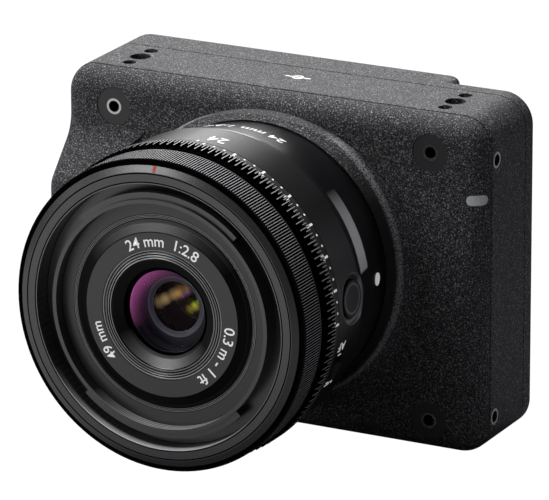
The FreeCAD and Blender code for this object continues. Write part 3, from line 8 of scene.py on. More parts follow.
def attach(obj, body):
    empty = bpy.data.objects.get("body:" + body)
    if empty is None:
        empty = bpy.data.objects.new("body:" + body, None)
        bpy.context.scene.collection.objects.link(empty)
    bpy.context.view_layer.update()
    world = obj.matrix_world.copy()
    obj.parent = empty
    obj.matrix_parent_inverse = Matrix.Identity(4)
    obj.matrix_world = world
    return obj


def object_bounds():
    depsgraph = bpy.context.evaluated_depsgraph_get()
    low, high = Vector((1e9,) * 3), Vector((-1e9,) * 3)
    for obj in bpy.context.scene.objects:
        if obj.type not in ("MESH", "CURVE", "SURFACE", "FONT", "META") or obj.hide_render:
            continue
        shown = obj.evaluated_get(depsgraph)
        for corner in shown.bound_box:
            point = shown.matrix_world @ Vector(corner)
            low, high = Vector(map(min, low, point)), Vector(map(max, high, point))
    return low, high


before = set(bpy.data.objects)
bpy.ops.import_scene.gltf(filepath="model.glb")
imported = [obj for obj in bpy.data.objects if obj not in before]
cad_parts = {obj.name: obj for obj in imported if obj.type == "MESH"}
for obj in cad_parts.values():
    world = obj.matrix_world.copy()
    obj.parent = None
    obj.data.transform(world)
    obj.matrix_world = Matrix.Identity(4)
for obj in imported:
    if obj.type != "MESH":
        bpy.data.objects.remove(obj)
construction_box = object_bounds()
MM = 0.001

# Where the lens stands, in metres, and on it the barrel's reach in millimetres and the middle of the
# focus hold button, as an angle in degrees and a depth before the flange in millimetres.
LENS_TALL = 39.25 * MM
FLANGE_Y = -16.9 * MM
BARREL_ROUND = 33.1
HOLD_ANGLE = 3.4
HOLD_DEPTH = 21.2


def shader_of(made):
    """The main shader node of a material."""
    return made.node_tree.nodes["Principled BSDF"]


def ranged(tree, given, low, high, to_low=0.0, to_high=1.0):
    """Maps a socket's span from low to high onto another span, and stops at its ends."""
    spread = tree.nodes.new("ShaderNodeMapRange")
    spread.inputs["From Min"].default_value = low
    spread.inputs["From Max"].default_value = high
    spread.inputs["To Min"].default_value = to_low
    spread.inputs["To Max"].default_value = to_high
    tree.links.new(given, spread.inputs["Value"])
    return spread.outputs["Result"]


def finish(name, colour, roughness, metallic=0.0, gloss=0.5):
    """A bare material with its even values set on the shader's own sockets."""
    made = bpy.data.materials.new(name)
    made.use_nodes = True
    shader = shader_of(made)
    shader.inputs["Base Color"].default_value = (*colour, 1)
    shader.inputs["Roughness"].default_value = roughness
    shader.inputs["Metallic"].default_value = metallic
    shader.inputs["Specular IOR Level"].default_value = gloss
    return made


def noise(made, grain_mm, detail=3.0, stretch=(1, 1, 1)):
    """The noise height of grains of that size, in the piece's own place."""
    tree = made.node_tree
    place = tree.nodes.new("ShaderNodeTexCoord")
    mapping = tree.nodes.new("ShaderNodeMapping")
    mapping.inputs["Scale"].default_value = stretch
    speckle = tree.nodes.new("ShaderNodeTexNoise")
    speckle.inputs["Scale"].default_value = 1 / (grain_mm * MM)
    speckle.inputs["Detail"].default_value = detail
    speckle.inputs["Roughness"].default_value = 0.6
    tree.links.new(place.outputs["Object"], mapping.inputs["Vector"])
    tree.links.new(mapping.outputs["Vector"], speckle.inputs["Vector"])
    return speckle.outputs["Fac"]


def tinted(made, height, stops):
    """Colours the surface by height, through stops of (place, colour)."""
    tree = made.node_tree
    ramp = tree.nodes.new("ShaderNodeValToRGB")
    ramp.color_ramp.elements[0].position = stops[0][0]
    ramp.color_ramp.elements[0].color = (*stops[0][1], 1)
    ramp.color_ramp.elements[1].position = stops[-1][0]
    ramp.color_ramp.elements[1].color = (*stops[-1][1], 1)
    for place, colour in stops[1:-1]:
        ramp.color_ramp.elements.new(place).color = (*colour, 1)
    tree.links.new(height, ramp.inputs["Fac"])
    tree.links.new(ramp.outputs["Color"], shader_of(made).inputs["Base Color"])


def embossed(made, height, relief_mm):
    """Raises the surface by up to that much where the height is 1."""
    tree = made.node_tree
    bump = tree.nodes.new("ShaderNodeBump")
    bump.inputs["Strength"].default_value = 1.0
    bump.inputs["Distance"].default_value = relief_mm * MM
    tree.links.new(height, bump.inputs["Height"])
    tree.links.new(bump.outputs["Normal"], shader_of(made).inputs["Normal"])


def dulled(made, height, low, high):
    """Lets the roughness wander between low and high with the height."""
    tree = made.node_tree
    tree.links.new(ranged(tree, height, 0.3, 0.7, low, high), shader_of(made).inputs["Roughness"])


def dress(made, *names):
    """Puts the material on those construction pieces."""
    for name in names:
        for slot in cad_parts[name].material_slots:
            slot.material = made


def maths(tree, how, first, second=None):
    """A math node on two sockets, or on one socket and a number."""
    worked = tree.nodes.new("ShaderNodeMath")
    worked.operation = how
    for slot, given in enumerate((first, second)):
        if given is None:
            continue
        if isinstance(given, (int, float)):
            worked.inputs[slot].default_value = given
        else:
            tree.links.new(given, worked.inputs[slot])
    return worked.outputs[0]


def both(tree, first, second):
    """The share where both shares are 1."""
    return maths(tree, "MULTIPLY", first, second)


def either(tree, first, second):
    """The share where one share or the other is 1."""
    return maths(tree, "MAXIMUM", first, second)


def outside(tree, share):
    """The share turned round: 1 where it was 0."""
    return maths(tree, "SUBTRACT", 1.0, share)


def length_of(tree, across, up):
    """The straight way over two lengths that stand square to each other."""
    squares = [maths(tree, "MULTIPLY", side, side) for side in (across, up)]
    return maths(tree, "SQRT", maths(tree, "ADD", *squares))


def lens_place(made):
    """Sockets for a point's reach from the lens axis and depth before the flange, in millimetres,
    and its angle round the axis in degrees."""
    tree = made.node_tree
    place = tree.nodes.new("ShaderNodeTexCoord")
    apart = tree.nodes.new("ShaderNodeSeparateXYZ")
    tree.links.new(place.outputs["Object"], apart.inputs[0])
    rise = maths(tree, "SUBTRACT", apart.outputs["Z"], LENS_TALL)
    reach = maths(tree, "DIVIDE", length_of(tree, apart.outputs["X"], rise), MM)
    depth = maths(tree, "DIVIDE", maths(tree, "SUBTRACT", FLANGE_Y, apart.outputs["Y"]), MM)
    angle = maths(tree, "DEGREES", maths(tree, "ARCTAN2", rise, apart.outputs["X"]))
    return reach, depth, angle


def between(tree, given, low, high, soft):
    """1 while the socket is between low and high, with soft ends of that width outside them."""
    ends = [ranged(tree, given, low - soft, low), ranged(tree, given, high + soft, high)]
    return maths(tree, "MINIMUM", *ends)


def colour_mix(tree, share, how, under, over):
    """Works the colour over into the one under it, which is a colour or a socket, by the share."""
    mix = tree.nodes.new("ShaderNodeMix")
    mix.data_type = "RGBA"
    mix.blend_type = how
    tree.links.new(share, mix.inputs["Factor"])
    if isinstance(under, tuple):
        mix.inputs[6].default_value = (*under, 1)
    else:
        tree.links.new(under, mix.inputs[6])
    mix.inputs[7].default_value = (*over, 1)
    return mix.outputs[2]


def blended(made, share, colour):
    """Lays a colour over the finished one where the share is 1."""
    under = shader_of(made).inputs["Base Color"]
    made.node_tree.links.new(colour_mix(made.node_tree, share, "MIX", under.links[0].from_socket, colour),
                             under)


def by_reach(made, low_mm, high_mm, stops):
    """Colours a ring by how far each point is from the lens axis."""
    tinted(made, ranged(made.node_tree, lens_place(made)[0], low_mm, high_mm), stops)


def glossed(made, share, low, high):
    """The shader's gloss, from low where the share is 0 to high where it is 1."""
    tree = made.node_tree
    tree.links.new(ranged(tree, share, 0, 1, low, high), shader_of(made).inputs["Specular IOR Level"])


def round_lines(tree, reach, first, step, count, wide):
    """1 on each of some thin rings, whose reaches go up from first by even steps."""
    lines = [between(tree, reach, first + step * number, first + step * number + wide, wide / 2)
             for number in range(count)]
    whole = lines[0]
    for line in lines[1:]:
        whole = either(tree, whole, line)
    return whole


def round_the_clock(tree, angle):
    """The angle from 0 up to 360, where the socket gives it from -180 to 180."""
    return maths(tree, "MODULO", maths(tree, "ADD", angle, 360), 360)


def from_button(tree, depth, angle):
    """How far each point of the barrel is from the hold button's middle, in millimetres, and its
    place along the diagonal that runs up and forwards through the button."""
    turned = maths(tree, "SUBTRACT", angle, HOLD_ANGLE)
    along = maths(tree, "MULTIPLY", turned, math.radians(BARREL_ROUND))
    ahead = maths(tree, "SUBTRACT", depth, HOLD_DEPTH)
    return length_of(tree, along, ahead), maths(tree, "ADD", along, ahead)


def anodised(name, colour, spread, low, high, gloss=0.5):
    """Bead-blasted and anodised metal, whose colour wanders by that share of itself."""
    made = finish(name, colour, (low + high) / 2, gloss=gloss)
    blast = noise(made, 0.10)
    tinted(made, blast, [(0.3, [part * (1 - spread) for part in colour]),
                         (0.7, [part * (1 + spread) for part in colour])])
    embossed(made, blast, 0.002)
    dulled(made, blast, low, high)
    return made


def coated_glass(name, tint, bend):
    """Clear glass of that index, low as the coating takes most of the mirror away."""
    made = finish(name, (1, 1, 1), 0.0)
    shader = shader_of(made)
    shader.inputs["Transmission Weight"].default_value = 1.0
    shader.inputs["IOR"].default_value = bend
    tinted(made, noise(made, 40.0, 1.0), [(0.3, (0.94, 0.94, 0.96)), (0.7, (0.98, 0.98, 0.99))])
    shader.inputs["Specular Tint"].default_value = (*tint, 1)
    return made


# The body's paint. A coarse charcoal coat on the casing's mouldings and castings, whose grains are
# just under a third of a millimetre across.
PAINT_GRAIN = 0.30
PAINT_RELIEF = 0.25
PAINT_DARK = (0.005, 0.005, 0.006)
PAINT_MIDDLE = (0.030, 0.030, 0.033)
PAINT_LIGHT = (0.078, 0.078, 0.083)
PAINT_FLECK = (0.38, 0.38, 0.39)
body_paint = finish("coarse_charcoal_paint", PAINT_MIDDLE, 0.55, gloss=0.25)
fleck = noise(body_paint, PAINT_GRAIN, 2.0)
tinted(body_paint, fleck, [(0.38, PAINT_DARK), (0.47, PAINT_MIDDLE), (0.58, PAINT_LIGHT),
                           (0.68, PAINT_FLECK)])
embossed(body_paint, fleck, PAINT_RELIEF)
dulled(body_paint, fleck, 0.42, 0.68)

# The lamp window. A light grey diffuser, moulded in one piece, that wraps the body's front edge
# and shows when the camera runs.
lamp_plastic = finish("frosted_lamp_plastic", (0.75, 0.75, 0.77), 0.4)
frost = noise(lamp_plastic, 0.5)
tinted(lamp_plastic, frost, [(0.3, (0.66, 0.66, 0.68)), (0.7, (0.82, 0.82, 0.84))])
shader_of(lamp_plastic).inputs["Subsurface Weight"].default_value = 0.15
shader_of(lamp_plastic).inputs["Subsurface Scale"].default_value = 1.0 * MM
dress(lamp_plastic, "lamp_window")

# The middle band, the rear cover and the card door. The band is a magnesium casting and the others
# are mouldings, all sprayed with the same paint as the front.
dress(body_paint, "mid_band", "rear_cover", "card_door")

# The fixing discs. Plain black mouldings with a fine spark finish, let into the front cover round
# each of its threaded holes.
disc_plastic = finish("spark_finished_plastic", (0.020, 0.020, 0.022), 0.5)
spark = noise(disc_plastic, 0.14)
tinted(disc_plastic, spark, [(0.35, (0.018, 0.018, 0.020)), (0.7, (0.046, 0.046, 0.050))])
embossed(disc_plastic, spark, 0.008)
dulled(disc_plastic, spark, 0.42, 0.62)
dress(disc_plastic, "fixing_discs")

# The threaded inserts and the tripod bush. Turned stainless steel, pressed into the casing, with a
# very fine unevenness left by the turning.
insert_steel = finish("turned_steel", (0.42, 0.42, 0.41), 0.24, 1.0)
turning = noise(insert_steel, 0.08, 2.0)
dulled(insert_steel, turning, 0.16, 0.34)
embossed(insert_steel, turning, 0.003)
dress(insert_steel, "thread_inserts", "tripod_bush")

# The rear screws, the mount screws, the door pin and the lock pin. Steel with a black chemical
# finish that is a shade paler in small patches.
screw_black = finish("blacked_steel", (0.06, 0.06, 0.06), 0.38, 0.9)
blacking = noise(screw_black, 0.12)
tinted(screw_black, blacking, [(0.3, (0.035, 0.035, 0.036)), (0.75, (0.11, 0.11, 0.11))])
dulled(screw_black, blacking, 0.3, 0.5)
dress(screw_black, "rear_screws", "door_pin", "lock_pin", "mount_screws")

# The release button and the two rear buttons. Satin black mouldings, smooth to the thumb.
button_plastic = finish("satin_button_plastic", (0.022, 0.022, 0.024), 0.34)
touch = noise(button_plastic, 0.3)
tinted(button_plastic, touch, [(0.3, (0.018, 0.018, 0.020)), (0.7, (0.030, 0.030, 0.033))])
dulled(button_plastic, touch, 0.28, 0.42)
dress(button_plastic, "release_button", "power_button", "menu_button")

# The inner frame, the heat spreader and the sensor plate. Aluminium sheet and castings, tumbled to
# a soft grey.
frame_alloy = finish("tumbled_aluminium", (0.55, 0.55, 0.56), 0.38, 1.0)
tumble = noise(frame_alloy, 0.25)
tinted(frame_alloy, tumble, [(0.3, (0.48, 0.48, 0.49)), (0.7, (0.62, 0.62, 0.63))])
dulled(frame_alloy, tumble, 0.3, 0.5)
dress(frame_alloy, "inner_frame", "heat_spreader", "sensor_plate")

# The mount ring and the lens's mount plate. Machined stainless steel, ground flat so that they meet
# all round.
mount_steel = finish("ground_steel", (0.60, 0.60, 0.60), 0.28, 1.0)
ground = noise(mount_steel, 0.1, 2.0)
dulled(mount_steel, ground, 0.18, 0.36)
dress(mount_steel, "mount_ring", "lens_mount_plate")

# The contact block and its pins. A black moulding that carries ten gold-plated pins, which press on
# the lens's contacts.
contact_plastic = finish("contact_plastic", (0.016, 0.016, 0.017), 0.5)
tinted(contact_plastic, noise(contact_plastic, 0.3),
       [(0.3, (0.012, 0.012, 0.013)), (0.7, (0.024, 0.024, 0.026))])
dress(contact_plastic, "contact_block")
gold_plate = finish("gold_plate", (0.83, 0.60, 0.24), 0.22, 1.0)
plating = noise(gold_plate, 0.1)
tinted(gold_plate, plating, [(0.3, (0.74, 0.52, 0.20)), (0.7, (0.90, 0.67, 0.30))])
dress(gold_plate, "contact_pins")

# The sensor package. A dark ceramic tray with a violet tinge, soldered to its own board and closed
# by a coated cover glass.
sensor_ceramic = finish("sensor_ceramic", (0.10, 0.09, 0.11), 0.3)
tinted(sensor_ceramic, noise(sensor_ceramic, 0.2), [(0.3, (0.08, 0.07, 0.09)), (0.7, (0.13, 0.11, 0.15))])
dress(sensor_ceramic, "sensor_package")

# The boards. Dark green solder mask, a little paler where it runs over the copper tracks.
board_mask = finish("solder_mask", (0.01, 0.05, 0.03), 0.35)
tracks = noise(board_mask, 1.2, 1.0, (1, 1, 6))
tinted(board_mask, tracks, [(0.45, (0.006, 0.035, 0.02)), (0.52, (0.012, 0.075, 0.04)),
                            (0.6, (0.006, 0.035, 0.02))])
dress(board_mask, "sensor_board", "main_board", "io_board")

# The card slot and the sockets. The slot and the flat sockets are pressed from tinned steel, and the
# round power socket is a black moulding.
socket_tin = finish("tinned_steel", (0.62, 0.62, 0.63), 0.3, 1.0)
dulled(socket_tin, noise(socket_tin, 0.3), 0.22, 0.4)
dress(socket_tin, "card_slot", "usb_socket", "video_socket")
socket_plastic = finish("socket_plastic", (0.015, 0.015, 0.016), 0.45)
tinted(socket_plastic, noise(socket_plastic, 0.3),
       [(0.3, (0.012, 0.012, 0.013)), (0.7, (0.022, 0.022, 0.024))])
dress(socket_plastic, "power_socket")

# The front cover. A moulding in glass-filled plastic with its own copy of the paint, with painted shade
# on the right part of the mount collar's flat and a painted highlight in the grains along the collar's
# ridge.
COLLAR_FACE = (-4.4, 0.5)
COLLAR_FLAT = (20, 31.3)
COLLAR_RIDGE = (31.9, 32.25)
cover_paint = body_paint.copy()
cover_paint.name = "coarse_charcoal_paint_front"
tree = cover_paint.node_tree
reach, depth, angle = lens_place(cover_paint)
ahead_of_face = between(tree, depth, *COLLAR_FACE, 0.1)
on_flat = both(tree, between(tree, reach, *COLLAR_FLAT, 0.3), ahead_of_face)
ridge_highlight = both(tree, between(tree, reach, *COLLAR_RIDGE, 0.4), ahead_of_face)
right_shade_side = between(tree, angle, -80, 30, 30)
grains = between(tree, noise(cover_paint, PAINT_GRAIN, 2.0), 0.52, 1.0, 0.1)
# Painted shade: the collar's flat darkened on its right side.
blended(cover_paint, both(tree, on_flat, right_shade_side), (0.006, 0.006, 0.007))
# Painted highlight: pale grains along the collar's ridge.
blended(cover_paint, both(tree, ridge_highlight, grains), (0.32, 0.32, 0.33))
dress(cover_paint, "front_cover")

# The lens barrel. Aluminium, bead-blasted and anodised satin black. The step behind the wide part
# carries painted highlights at the top and at the right, and the wide part a faint painted reflection
# at the right. The seat round the hold button has a painted highlight on its edge and on the lower
# rear of its slope, and a dark gap.
HIGHLIGHT_BAND = (11.1, 15.7)
HIGHLIGHT_ARC = (15.9, 17.1)
WIDE_PART = (18.8, 29)
SEAT_EDGE_HIGHLIGHT = (5.2, 5.45)
SEAT_SLOPE_HIGHLIGHT = (4.7, 5.4)
SEAT_GAP = (3.9, 5.0)
barrel_black = anodised("satin_black_anodising", (0.020, 0.020, 0.022), 0.3, 0.26, 0.38, gloss=0.6)
dress(barrel_black, "inner_barrel", "focus_mode_switch")
stepped_black = anodised("black_anodising_painted_band", (0.004, 0.004, 0.005), 0.3, 0.26, 0.36, gloss=0.5)
tree = stepped_black.node_tree
reach, depth, angle = lens_place(stepped_black)
at_right = both(tree, between(tree, angle, 10.5, 90, 1.0), between(tree, angle, -20, 16, 27))
band_highlight = both(tree, between(tree, depth, *HIGHLIGHT_BAND, 0.3), at_right)
arc_highlight = both(tree, between(tree, angle, 80, 90, 7), between(tree, depth, *HIGHLIGHT_ARC, 0.3))
right_reflection_patch = both(tree, between(tree, depth, *WIDE_PART, 0.4), between(tree, angle, 10, 22, 18))
# Painted reflection: the wide part a little lighter at the right.
blended(stepped_black, right_reflection_patch, (0.045, 0.045, 0.048))
# Painted highlights: a bright band on the step at the right and a bright arc on it at the top.
blended(stepped_black, band_highlight, (0.70, 0.70, 0.72))
blended(stepped_black, arc_highlight, (0.55, 0.55, 0.56))
on_left = between(tree, round_the_clock(tree, angle), 97, 260, 9)
at_rear = both(tree, between(tree, angle, 40, 76, 10), between(tree, depth, 0, 18.2, 0.2))
glossed(stepped_black, outside(tree, either(tree, on_left, at_rear)), 0.12, 0.5)
apart, slant = from_button(tree, depth, angle)
lower_rear_highlight = between(tree, slant, -9, -2.5, 2.5)
# Painted highlight: a pale ring on the edge of the button's seat.
blended(stepped_black, between(tree, apart, *SEAT_EDGE_HIGHLIGHT, 0.08), (0.19, 0.19, 0.20))
blended(stepped_black, between(tree, apart, *SEAT_GAP, 0.15), (0.003, 0.003, 0.003))
# Painted highlight: a bright curved patch on the lower rear of the seat's slope.
blended(stepped_black, both(tree, between(tree, apart, *SEAT_SLOPE_HIGHLIGHT, 0.2), lower_rear_highlight), (0.42, 0.42, 0.43))
dress(stepped_black, "rear_barrel")

# The focus hold button. A soft-touch cap, a shade paler than the barrel, with a painted highlight on
# its rounded rim and a dark gap round it.
CAP_RIM_HIGHLIGHT = (3.0, 3.2)
CAP_GAP = (3.7, 4.5)
cap_black = anodised("soft_touch_cap", (0.040, 0.040, 0.043), 0.25, 0.34, 0.46)
tree = cap_black.node_tree
reach, depth, angle = lens_place(cap_black)
apart = from_button(tree, depth, angle)[0]
# Painted highlight: a pale ring on the cap's rim.
blended(cap_black, between(tree, apart, *CAP_RIM_HIGHLIGHT, 0.12), (0.30, 0.30, 0.31))
blended(cap_black, between(tree, apart, *CAP_GAP, 0.1), (0.003, 0.003, 0.003))
dress(cap_black, "focus_hold_button")

# The bezel. The same aluminium, turned after blasting, with a smoother satin face that mirrors the
# pale table; two fine grooves part its face, and the low part of its inner wall carries a painted highlight.
INNER_GROOVE = (28.62, 28.86)
OUTER_GROOVE = (30.45, 30.7)
BEZEL_LIP = (28.42, 28.56)
BEZEL_WALL = (28.0, 28.55)
TURNED_BLACK = (0.022, 0.022, 0.024)
bezel_black = anodised("turned_black_anodising", TURNED_BLACK, 0.25, 0.24, 0.34, gloss=0.9)
tree = bezel_black.node_tree
reach, depth, angle = lens_place(bezel_black)
lit_low_part = between(tree, round_the_clock(tree, angle), 244, 284, 34)
wall_highlight = both(tree, between(tree, reach, *BEZEL_WALL, 0.1), between(tree, depth, 44.0, 46, 0.9))
on_grooves = either(tree, between(tree, reach, *INNER_GROOVE, 0.03),
                    between(tree, reach, *OUTER_GROOVE, 0.03))
blended(bezel_black, on_grooves, (0.001, 0.001, 0.001))
glossed(bezel_black, outside(tree, on_grooves), 0.0, 0.9)
blended(bezel_black, between(tree, reach, *BEZEL_LIP, 0.03), (0.12, 0.12, 0.125))
# Painted highlight: the low part of the inner wall made nearly white.
blended(bezel_black, both(tree, lit_low_part, wall_highlight), (0.95, 0.95, 0.96))
dress(bezel_black, "front_bezel")

# The filter ring. Turned like the bezel, with a thread cut round its inside. Its thread crests are
# painted as highlights at the low part, where they face the pale table, and the rest of its inner wall
# is painted shade.
THREAD_CREST = (23.9, 24.15)
THREAD_PITCH = 0.75
thread_black = anodised("threaded_black_anodising", TURNED_BLACK, 0.25, 0.24, 0.34, gloss=0.9)
tree = thread_black.node_tree
reach, depth, angle = lens_place(thread_black)
lit_low_part = between(tree, round_the_clock(tree, angle), 255, 290, 26)
turn_of_thread = maths(tree, "FRACT", maths(tree, "DIVIDE", depth, THREAD_PITCH))
on_thread = both(tree, between(tree, reach, *THREAD_CREST, 0.02),
                 between(tree, turn_of_thread, 0.3, 0.7, 0.2))
painted_wall_shade = both(tree, between(tree, reach, 20, 24.02, 0.02), outside(tree, lit_low_part))
# Painted shade: the inner wall darkened all round but at the low part.
blended(thread_black, painted_wall_shade, (0.001, 0.001, 0.001))
glossed(thread_black, outside(tree, painted_wall_shade), 0.05, 0.9)
# Painted highlight: bright lines for the thread's crests at the low part.
blended(thread_black, both(tree, lit_low_part, on_thread), (0.85, 0.85, 0.86))
dress(thread_black, "filter_ring")

# The two grip rings. Turned aluminium, knurled with straight ribs and anodised, with painted shade in
# the valleys and a painted highlight along the ribs' tips.
RIB_HIGH = 0.35
RIB_TIP = (0.18, 0.36)
PLAIN_BAND = 4


def knurled(name, crest_mm, start_mm, end_mm, ribs):
    """A ribbed ring's finish: painted shade deepening into the valleys, and a painted highlight along the
    tip of each rib.
    """
    made = finish(name, (0.02, 0.02, 0.02), 0.36)
    tree = made.node_tree
    reach, depth, angle = lens_place(made)
    # Painted shade: darker towards the valleys between the ribs.
    by_reach(made, crest_mm - RIB_HIGH, crest_mm,
             [(0.0, (0.002, 0.002, 0.002)), (0.6, (0.006, 0.006, 0.006)), (0.9, (0.009, 0.009, 0.010))])
    turned_by = maths(tree, "FRACT", maths(tree, "MULTIPLY", round_the_clock(tree, angle), ribs / 360))
    tip = both(tree, between(tree, turned_by, *RIB_TIP, 0.05),
               between(tree, depth, start_mm, end_mm, 0.05))
    crest_highlight = both(tree, tip, between(tree, reach, crest_mm - 0.05, crest_mm + 1, 0.04))
    plain = between(tree, depth, start_mm - PLAIN_BAND, start_mm - 0.12, 0.05)
    blended(made, plain, TURNED_BLACK)
    # Painted highlight: a thin bright line on each rib's tip.
    blended(made, crest_highlight, (0.42, 0.42, 0.43))
    glossed(made, either(tree, crest_highlight, plain), 0.0, 0.5)
    dulled(made, noise(made, 0.1), 0.3, 0.45)
    return made


dress(knurled("knurled_focus_finish", 33.4, 37.1, 43.5, 350), "focus_ring")
dress(knurled("knurled_aperture_finish", 34.0, 31.3, 34.9, 266), "aperture_ring")

# The name ring. A fine-grained satin ring: a flat face for the figures, a slope round it with painted
# shade on all but its top, and three ridges at the outer edge with painted highlights on them.
RIDGE_START = 20.42
RIDGE_STEP = 0.3
GROOVE_START = 20.22
FACE_EDGE = 17.62
NAME_SLOPE = (17.72, 20.2)
name_black = finish("fine_grain_black", (0.016, 0.016, 0.017), 0.36, gloss=0.7)
fine = noise(name_black, 0.16)
tinted(name_black, fine, [(0.3, (0.010, 0.010, 0.011)), (0.7, (0.026, 0.026, 0.028))])
embossed(name_black, fine, 0.02)
dulled(name_black, fine, 0.28, 0.42)
tree = name_black.node_tree
reach, depth, angle = lens_place(name_black)
# Painted highlights: three pale lines on the ridges.
blended(name_black, round_lines(tree, reach, RIDGE_START, RIDGE_STEP, 3, 0.06), (0.40, 0.40, 0.41))
on_grooves = either(tree, round_lines(tree, reach, GROOVE_START, RIDGE_STEP, 4, 0.10),
                    round_lines(tree, reach, FACE_EDGE, RIDGE_STEP, 1, 0.12))
shaded_off_top = outside(tree, between(tree, angle, 75, 110, 40))
slope_shade = both(tree, between(tree, reach, *NAME_SLOPE, 0.04), shaded_off_top)
# Painted shade: the slope darkened all round but at the top, along with the dark grooves.
dark = either(tree, on_grooves, both(tree, slope_shade, 0.9))
blended(name_black, dark, (0.001, 0.001, 0.001))
glossed(name_black, outside(tree, dark), 0.0, 0.7)
dress(name_black, "name_ring")

# The front retainer. A cone round the front glass with four fine ridges at its outer edge, anodised
# black and glossy. The ridges carry painted highlights, the cone's foot a painted pool of light from
# the pale table, and its inner edge and the rest of the cone painted shade.
CONE = (9.3, 11.6)
CONE_RIDGES = 11.98
CONE_GROOVES = 11.78
CONE_STEP = 0.54
retainer_black = anodised("ridged_black_anodising", (0.005, 0.005, 0.006), 0.3, 0.22, 0.30, gloss=0.9)
tree = retainer_black.node_tree
reach, depth, angle = lens_place(retainer_black)
# Painted highlights: pale lines on the four ridges.
blended(retainer_black, round_lines(tree, reach, CONE_RIDGES, CONE_STEP, 4, 0.14), (0.34, 0.34, 0.35))
on_grooves = round_lines(tree, reach, CONE_GROOVES, CONE_STEP, 5, 0.12)
shaded_eye = between(tree, reach, 0, 9.7, 0.3)
lit_foot = between(tree, round_the_clock(tree, angle), 250, 288, 42)
shaded_side = both(tree, between(tree, reach, 9, 11.7, 0.05), outside(tree, lit_foot))
# Painted shade: the inner edge and the cone away from its foot darkened.
dark = either(tree, either(tree, on_grooves, shaded_eye), both(tree, shaded_side, 0.85))
blended(retainer_black, dark, (0.001, 0.001, 0.001))
glossed(retainer_black, outside(tree, dark), 0.0, 1.0)
on_cone = between(tree, reach, *CONE, 0.1)
roughness = shader_of(retainer_black).inputs["Roughness"]
satin = either(tree, roughness.links[0].from_socket, both(tree, on_cone, 0.42))
tree.links.new(satin, roughness)
# Painted highlight: the cone's foot lighter where light from the pale table falls.
blended(retainer_black, both(tree, on_cone, lit_foot), (0.09, 0.09, 0.095))
dress(retainer_black, "front_retainer")

# The cells, tubes and iris inside the lens. Aluminium and moulded parts in a flat black that takes
# up stray light; the focus rods and the motor are left bare.
inner_black = finish("flat_inner_black", (0.010, 0.010, 0.011), 0.7)
tinted(inner_black, noise(inner_black, 0.2), [(0.3, (0.007, 0.007, 0.008)), (0.7, (0.015, 0.015, 0.016))])
dress(inner_black, "front_cell", "core_tube", "rear_cell", "focus_carrier", "iris_housing",
      "iris_drive_ring")
for number in range(1, 8):
    dress(inner_black, f"iris_blade_{number}")
dress(frame_alloy, "focus_rods", "focus_motor")

# The glass. Ground and polished elements with a many-layered coating that throws back a little
# magenta in front and amber and green from deeper down. A magenta patch near the front rim and amber
# and green glints on the inner glass are painted reflections, which glow.
BLUE_TINT = (0.45, 0.25, 0.9)
MAGENTA_TINT = (1.0, 0.16, 0.70)
MAGENTA_PAINTED_GLINT = (0.62, 0.13, 0.45)
RIM_PAINTED_GLINT = 0.19
PAINTED_GLINT_STRENGTH = 0.35
PAINTED_GLINTS = (((-4.2, 39.3), 1.5, (0.36, 0.25, 0.11)), ((-0.7, 41.4), 1.6, (0.22, 0.12, 0.04)),
          ((-1.2, 40.9), 0.9, (0.20, 0.11, 0.03)), ((2.7, 38.8), 1.2, (0.36, 0.29, 0.03)),
          ((3.6, 39.9), 0.7, (0.14, 0.40, 0.03)), ((0.9, 41.4), 0.8, (0.12, 0.05, 0.20)))
magenta_glass = coated_glass("magenta_coated_glass", BLUE_TINT, 1.12)
tree = magenta_glass.node_tree
shader = shader_of(magenta_glass)
reach, depth, angle = lens_place(magenta_glass)
clock = round_the_clock(tree, angle)
crescent = both(tree, between(tree, reach, 7.8, 10, 2.4), between(tree, clock, 125, 180, 50))
tree.links.new(ranged(tree, crescent, 0, 1, 1.12, 1.15), shader.inputs["IOR"])
coating = colour_mix(tree, crescent, "MIX", BLUE_TINT, MAGENTA_TINT)
tree.links.new(coating, shader.inputs["Specular Tint"])
# Painted reflection: the front glass glows magenta near its rim, at the upper left.
shader.inputs["Emission Color"].default_value = (*MAGENTA_PAINTED_GLINT, 1)
outer = both(tree, between(tree, reach, 9.3, 10, 3.2), between(tree, clock, 125, 155, 60))
tree.links.new(both(tree, outer, RIM_PAINTED_GLINT), shader.inputs["Emission Strength"])
dress(magenta_glass, "front_element")
amber_glass = coated_glass("amber_coated_glass", (1.0, 0.72, 0.25), 1.2)
tree = amber_glass.node_tree
shader = shader_of(amber_glass)
place = tree.nodes.new("ShaderNodeTexCoord")
painted_glint_colour = (0, 0, 0)
# Painted reflections: soft amber and green spots where the inner glass glows.
for (across_mm, tall_mm), wide_mm, colour in PAINTED_GLINTS:
    aside = tree.nodes.new("ShaderNodeVectorMath")
    aside.operation = "MULTIPLY_ADD"
    aside.inputs[1].default_value = (1 / MM, 0, 1 / MM)
    aside.inputs[2].default_value = (-across_mm, 0, -tall_mm)
    tree.links.new(place.outputs["Object"], aside.inputs[0])
    far = tree.nodes.new("ShaderNodeVectorMath")
    far.operation = "LENGTH"
    tree.links.new(aside.outputs[0], far.inputs[0])
    near = between(tree, far.outputs["Value"], -1, 0.05, wide_mm)
    painted_glint_colour = colour_mix(tree, near, "ADD", painted_glint_colour, colour)
tree.links.new(painted_glint_colour, shader.inputs["Emission Color"])
shader.inputs["Emission Strength"].default_value = PAINTED_GLINT_STRENGTH
dress(amber_glass, "inner_elements")
dress(coated_glass("clear_coated_glass", (0.8, 0.8, 1.0), 1.2), "focus_element")
dress(coated_glass("green_coated_glass", (0.45, 0.85, 0.25), 1.4), "rear_element", "sensor_glass")

# The stop washer. A blackened brass ring between the first two elements; the bevel round its
# opening was left a bare satin grey and shows through the front glass as a pale ring.
WASHER = ((8.4, 36.35), (8.4, 36.7), (6.1, 36.7), (5.3, 36.45), (5.3, 36.35))
TURNS = 96


